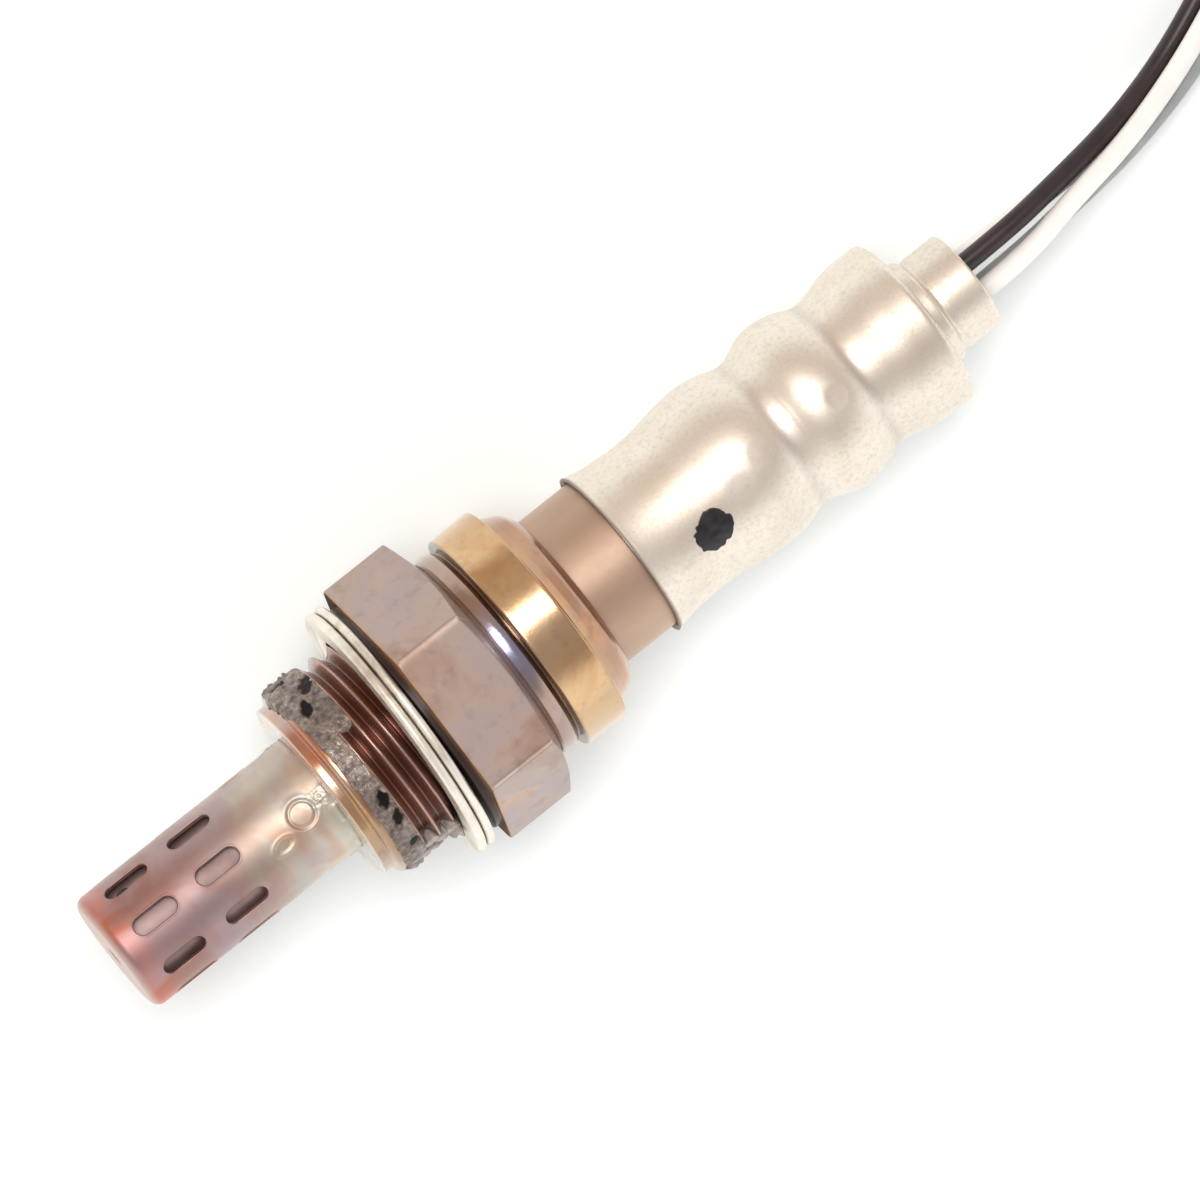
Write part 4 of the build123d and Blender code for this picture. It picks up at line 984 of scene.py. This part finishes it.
def softenedCopy(node, name, width):
    # the CAD solid with its edges rounded
    piece = welded(name, [frame["nodes"][node].data], 0.000004, flatten=True)
    bevel = piece.modifiers.new("edges", "BEVEL")
    bevel.width = width
    bevel.segments = 2
    bevel.limit_method = "ANGLE"
    bevel.angle_limit = math.radians(30)
    bevel.harden_normals = True
    return piece


def moulded(name, dark, light, rough=0.5):
    return mottledFinish(name, (300, 3, 0.5), [(0.3, dark), (0.7, light)], ((1400, 2, 0.5), 0.25, 0.00003),
                         ((500, 3, 0.5), rough - 0.08, rough + 0.1), specular=0.4)


def bright(name, dark, light, rough=0.3, metal=1.0):
    return mottledFinish(name, (400, 3, 0.5), [(0.3, dark), (0.7, light)], ((1800, 2, 0.5), 0.1, 0.00002),
                         metal=metal, rough=rough)


plugBody = dress(softenedCopy("plug_housing", "plugBody", 0.00018),
                 moulded("blackNylon", (30, 31, 33), (42, 43, 46)), ["plug_housing"])
nodeFinishes = {
    "plug_seal": moulded("sealRubber", (120, 58, 44), (142, 72, 54), 0.6),
    "plug_lock": moulded("lockPlastic", (120, 122, 126), (140, 142, 146), 0.45),
    "grommet": moulded("grommetRubber", (26, 24, 25), (40, 37, 38), 0.62),
    "inner_shield": bright("innerTube", (124, 100, 96), (158, 134, 132), 0.42, 0.45),
    "sensing_element": moulded("elementCeramic", (214, 210, 200), (230, 226, 218), 0.6),
    "heater_rod": moulded("heaterCeramic", (205, 202, 195), (224, 221, 214)),
    "support_insulator": moulded("insulatorCeramic", (206, 202, 194), (226, 222, 214)),
    "terminal_holder": moulded("holderCeramic", (212, 206, 196), (230, 226, 216)),
    "talc_seal": moulded("talcPowder", (190, 188, 180), (214, 212, 204), 0.9),
    "seat_ring": bright("seatSteel", (150, 140, 132), (176, 166, 158)),
    "packing_ring": bright("packingSteel", (150, 140, 132), (176, 166, 158)),
}
contactNickel = bright("contactNickel", (196, 190, 180), (220, 214, 206))
contactNodes = ["inner_contact", "outer_contact", "holder_clip"]
contactNodes += [part + name for name in wires for part in ("ferrule_", "plug_terminal_")]
for node, finish in (nodeFinishes | dict.fromkeys(contactNodes, contactNickel)).items():
    materials = frame["nodes"][node].data.materials
    materials.clear()
    materials.append(finish)

# the tie is a thin film band round the stacked turns
tieBand = dress(softenedCopy("coil_tie", "tieBand", 0.00012),
                moulded("tieFilm", (214, 212, 206), (230, 228, 222), 0.35), ["coil_tie"])
for name, (side, angle, free) in wires.items():
    points, start = wirePoints(side, angle, free)
    finish, slot = wireFinishes[name]
    wire = dress(makeWire(name, points), finish, ["wire_" + name, "wire_" + name + "_tail", "lead_coil"])
print("wires, plug and tie made")

# floor, light and camera; colours of the room and of the ground are linear
room = {"lean": 20, "sides": 1.38, "disc": (0.38, 0.345, 0.335, 1), "discLeft": (0.50, 0.42, 0.35, 1),
        "ground": (0.9, 0.9, 0.89, 1), "groundGlow": (0.6, 0.8, 0.85, 1), "glowSeen": 0.23, "glowMirrored": 0.34,
        "groundReach": 3.0, "groundGap": 0.00003}
keyLight = {"length": 0.72, "width": 0.36, "power": 4.3, "distance": 0.9, "shift": 0.125, "aim": (-0.016, 0, 0)}
view = {"distance": 0.83, "lens": 311.0, "leanSide": 11.0, "leanTip": 2.6, "roll": 38.5,
        "targetAlong": -19.8, "targetAcross": 1.85}


def makeFloor():
    # a wide pale ground just under the lowest point
    far, height = room["groundReach"], floorHeight - room["groundGap"]
    grid = np.array([[(-far, far, height), (far, far, height)], [(-far, -far, height), (far, -far, height)]])
    floor = gridPiece("paleFloor", grid, flip=True)
    floor.data.materials.append(newFinish("whiteGround", rough=0.9, colour=room["ground"], specular=0.1))
    # to the camera and in reflections the ground also glows a little, so it ends up white
    ray = addNode("ShaderNodeLightPath").outputs
    mirrored = calc("MAXIMUM", ray["Is Glossy Ray"], ray["Is Transmission Ray"])
    seen = calc("MAXIMUM", ray["Is Camera Ray"], mirrored)
    level = calc("MULTIPLY_ADD", mirrored, room["glowMirrored"] - room["glowSeen"], room["glowSeen"])
    glow = addNode("ShaderNodeEmission", {0: room["groundGlow"], 1: level}).outputs[0]
    plain = bench["shader"].outputs[0]
    both = addNode("ShaderNodeAddShader", {0: plain, 1: glow}).outputs[0]
    choice = addNode("ShaderNodeMixShader", {0: seen, 1: plain, 2: both}).outputs[0]
    bench["tree"].links.new(choice, bench["tree"].nodes["Material Output"].inputs[0])


def makeWorld():
    # a pale room: bright round its sides, dimmer and warmer in a disc overhead that leans to -Y
    world = bpy.data.worlds.new("paleRoom")
    bpy.context.scene.world = world
    world.use_nodes = True
    bench["tree"] = world.node_tree
    way = addNode("ShaderNodeTexCoord").outputs["Generated"]
    lean = math.radians(room["lean"])
    toDisc = addNode("ShaderNodeVectorMath", {0: way, 1: (0, -math.sin(lean), math.cos(lean))},
                     operation="DOT_PRODUCT").outputs["Value"]
    sideways = addNode("ShaderNodeSeparateXYZ", {0: way}).outputs[1]
    disc = colourRamp(calc("MULTIPLY_ADD", sideways, 0.5, 0.5), [(0.25, room["discLeft"]), (0.5, room["disc"])])
    sky = mixed(colourRamp(toDisc, [(0.20, 0), (0.50, 1)]), 1, disc)
    back = world.node_tree.nodes["Background"]
    world.node_tree.links.new(sky, back.inputs[0])
    back.inputs[1].default_value = room["sides"]


def makeCamera():
    # the view leans to one side and a little to the tip; the roll puts the axis on the slant
    side, tip, roll = (math.radians(view[key]) for key in ("leanSide", "leanTip", "roll"))
    toCamera = Vector((math.sin(tip), -math.sin(side) * math.cos(tip), math.cos(side) * math.cos(tip)))
    toTip = Vector((math.cos(tipUp), 0, math.sin(tipUp)))
    toWires = (toCamera * toTip.dot(toCamera) - toTip).normalized()
    across = toWires.cross(toCamera)
    right = toWires * math.cos(roll) + across * math.sin(roll)
    up = toWires * math.sin(roll) - across * math.cos(roll)
    target = toTip * view["targetAlong"] * mm + across * view["targetAcross"] * mm
    camera = bpy.data.cameras.new("camera")
    camera.lens = view["lens"]
    camera.sensor_width = 36
    thing = placed("camera", camera)
    thing.matrix_world = Matrix.Translation(target + toCamera * view["distance"]) \
        @ Matrix((right, up, toCamera)).transposed().to_4x4()
    bpy.context.scene.camera = thing
    return toCamera, across, target


def makeKeyLight(toCamera, across, target):
    # one soft lamp above the camera, longer along the sensor
    lamp = bpy.data.lights.new("keyLamp", "AREA")
    lamp.shape = "ELLIPSE"
    lamp.size, lamp.size_y = keyLight["length"], keyLight["width"]
    lamp.energy = keyLight["power"]
    thing = placed("keyLamp", lamp)
    thing.location = target + toCamera * keyLight["distance"] - across * keyLight["shift"]
    thing.rotation_euler = (Vector(keyLight["aim"]) - thing.location).to_track_quat("-Z", "Y").to_euler()


makeFloor()
makeWorld()
makeKeyLight(*makeCamera())
bpy.context.scene.view_settings.view_transform = "Standard"
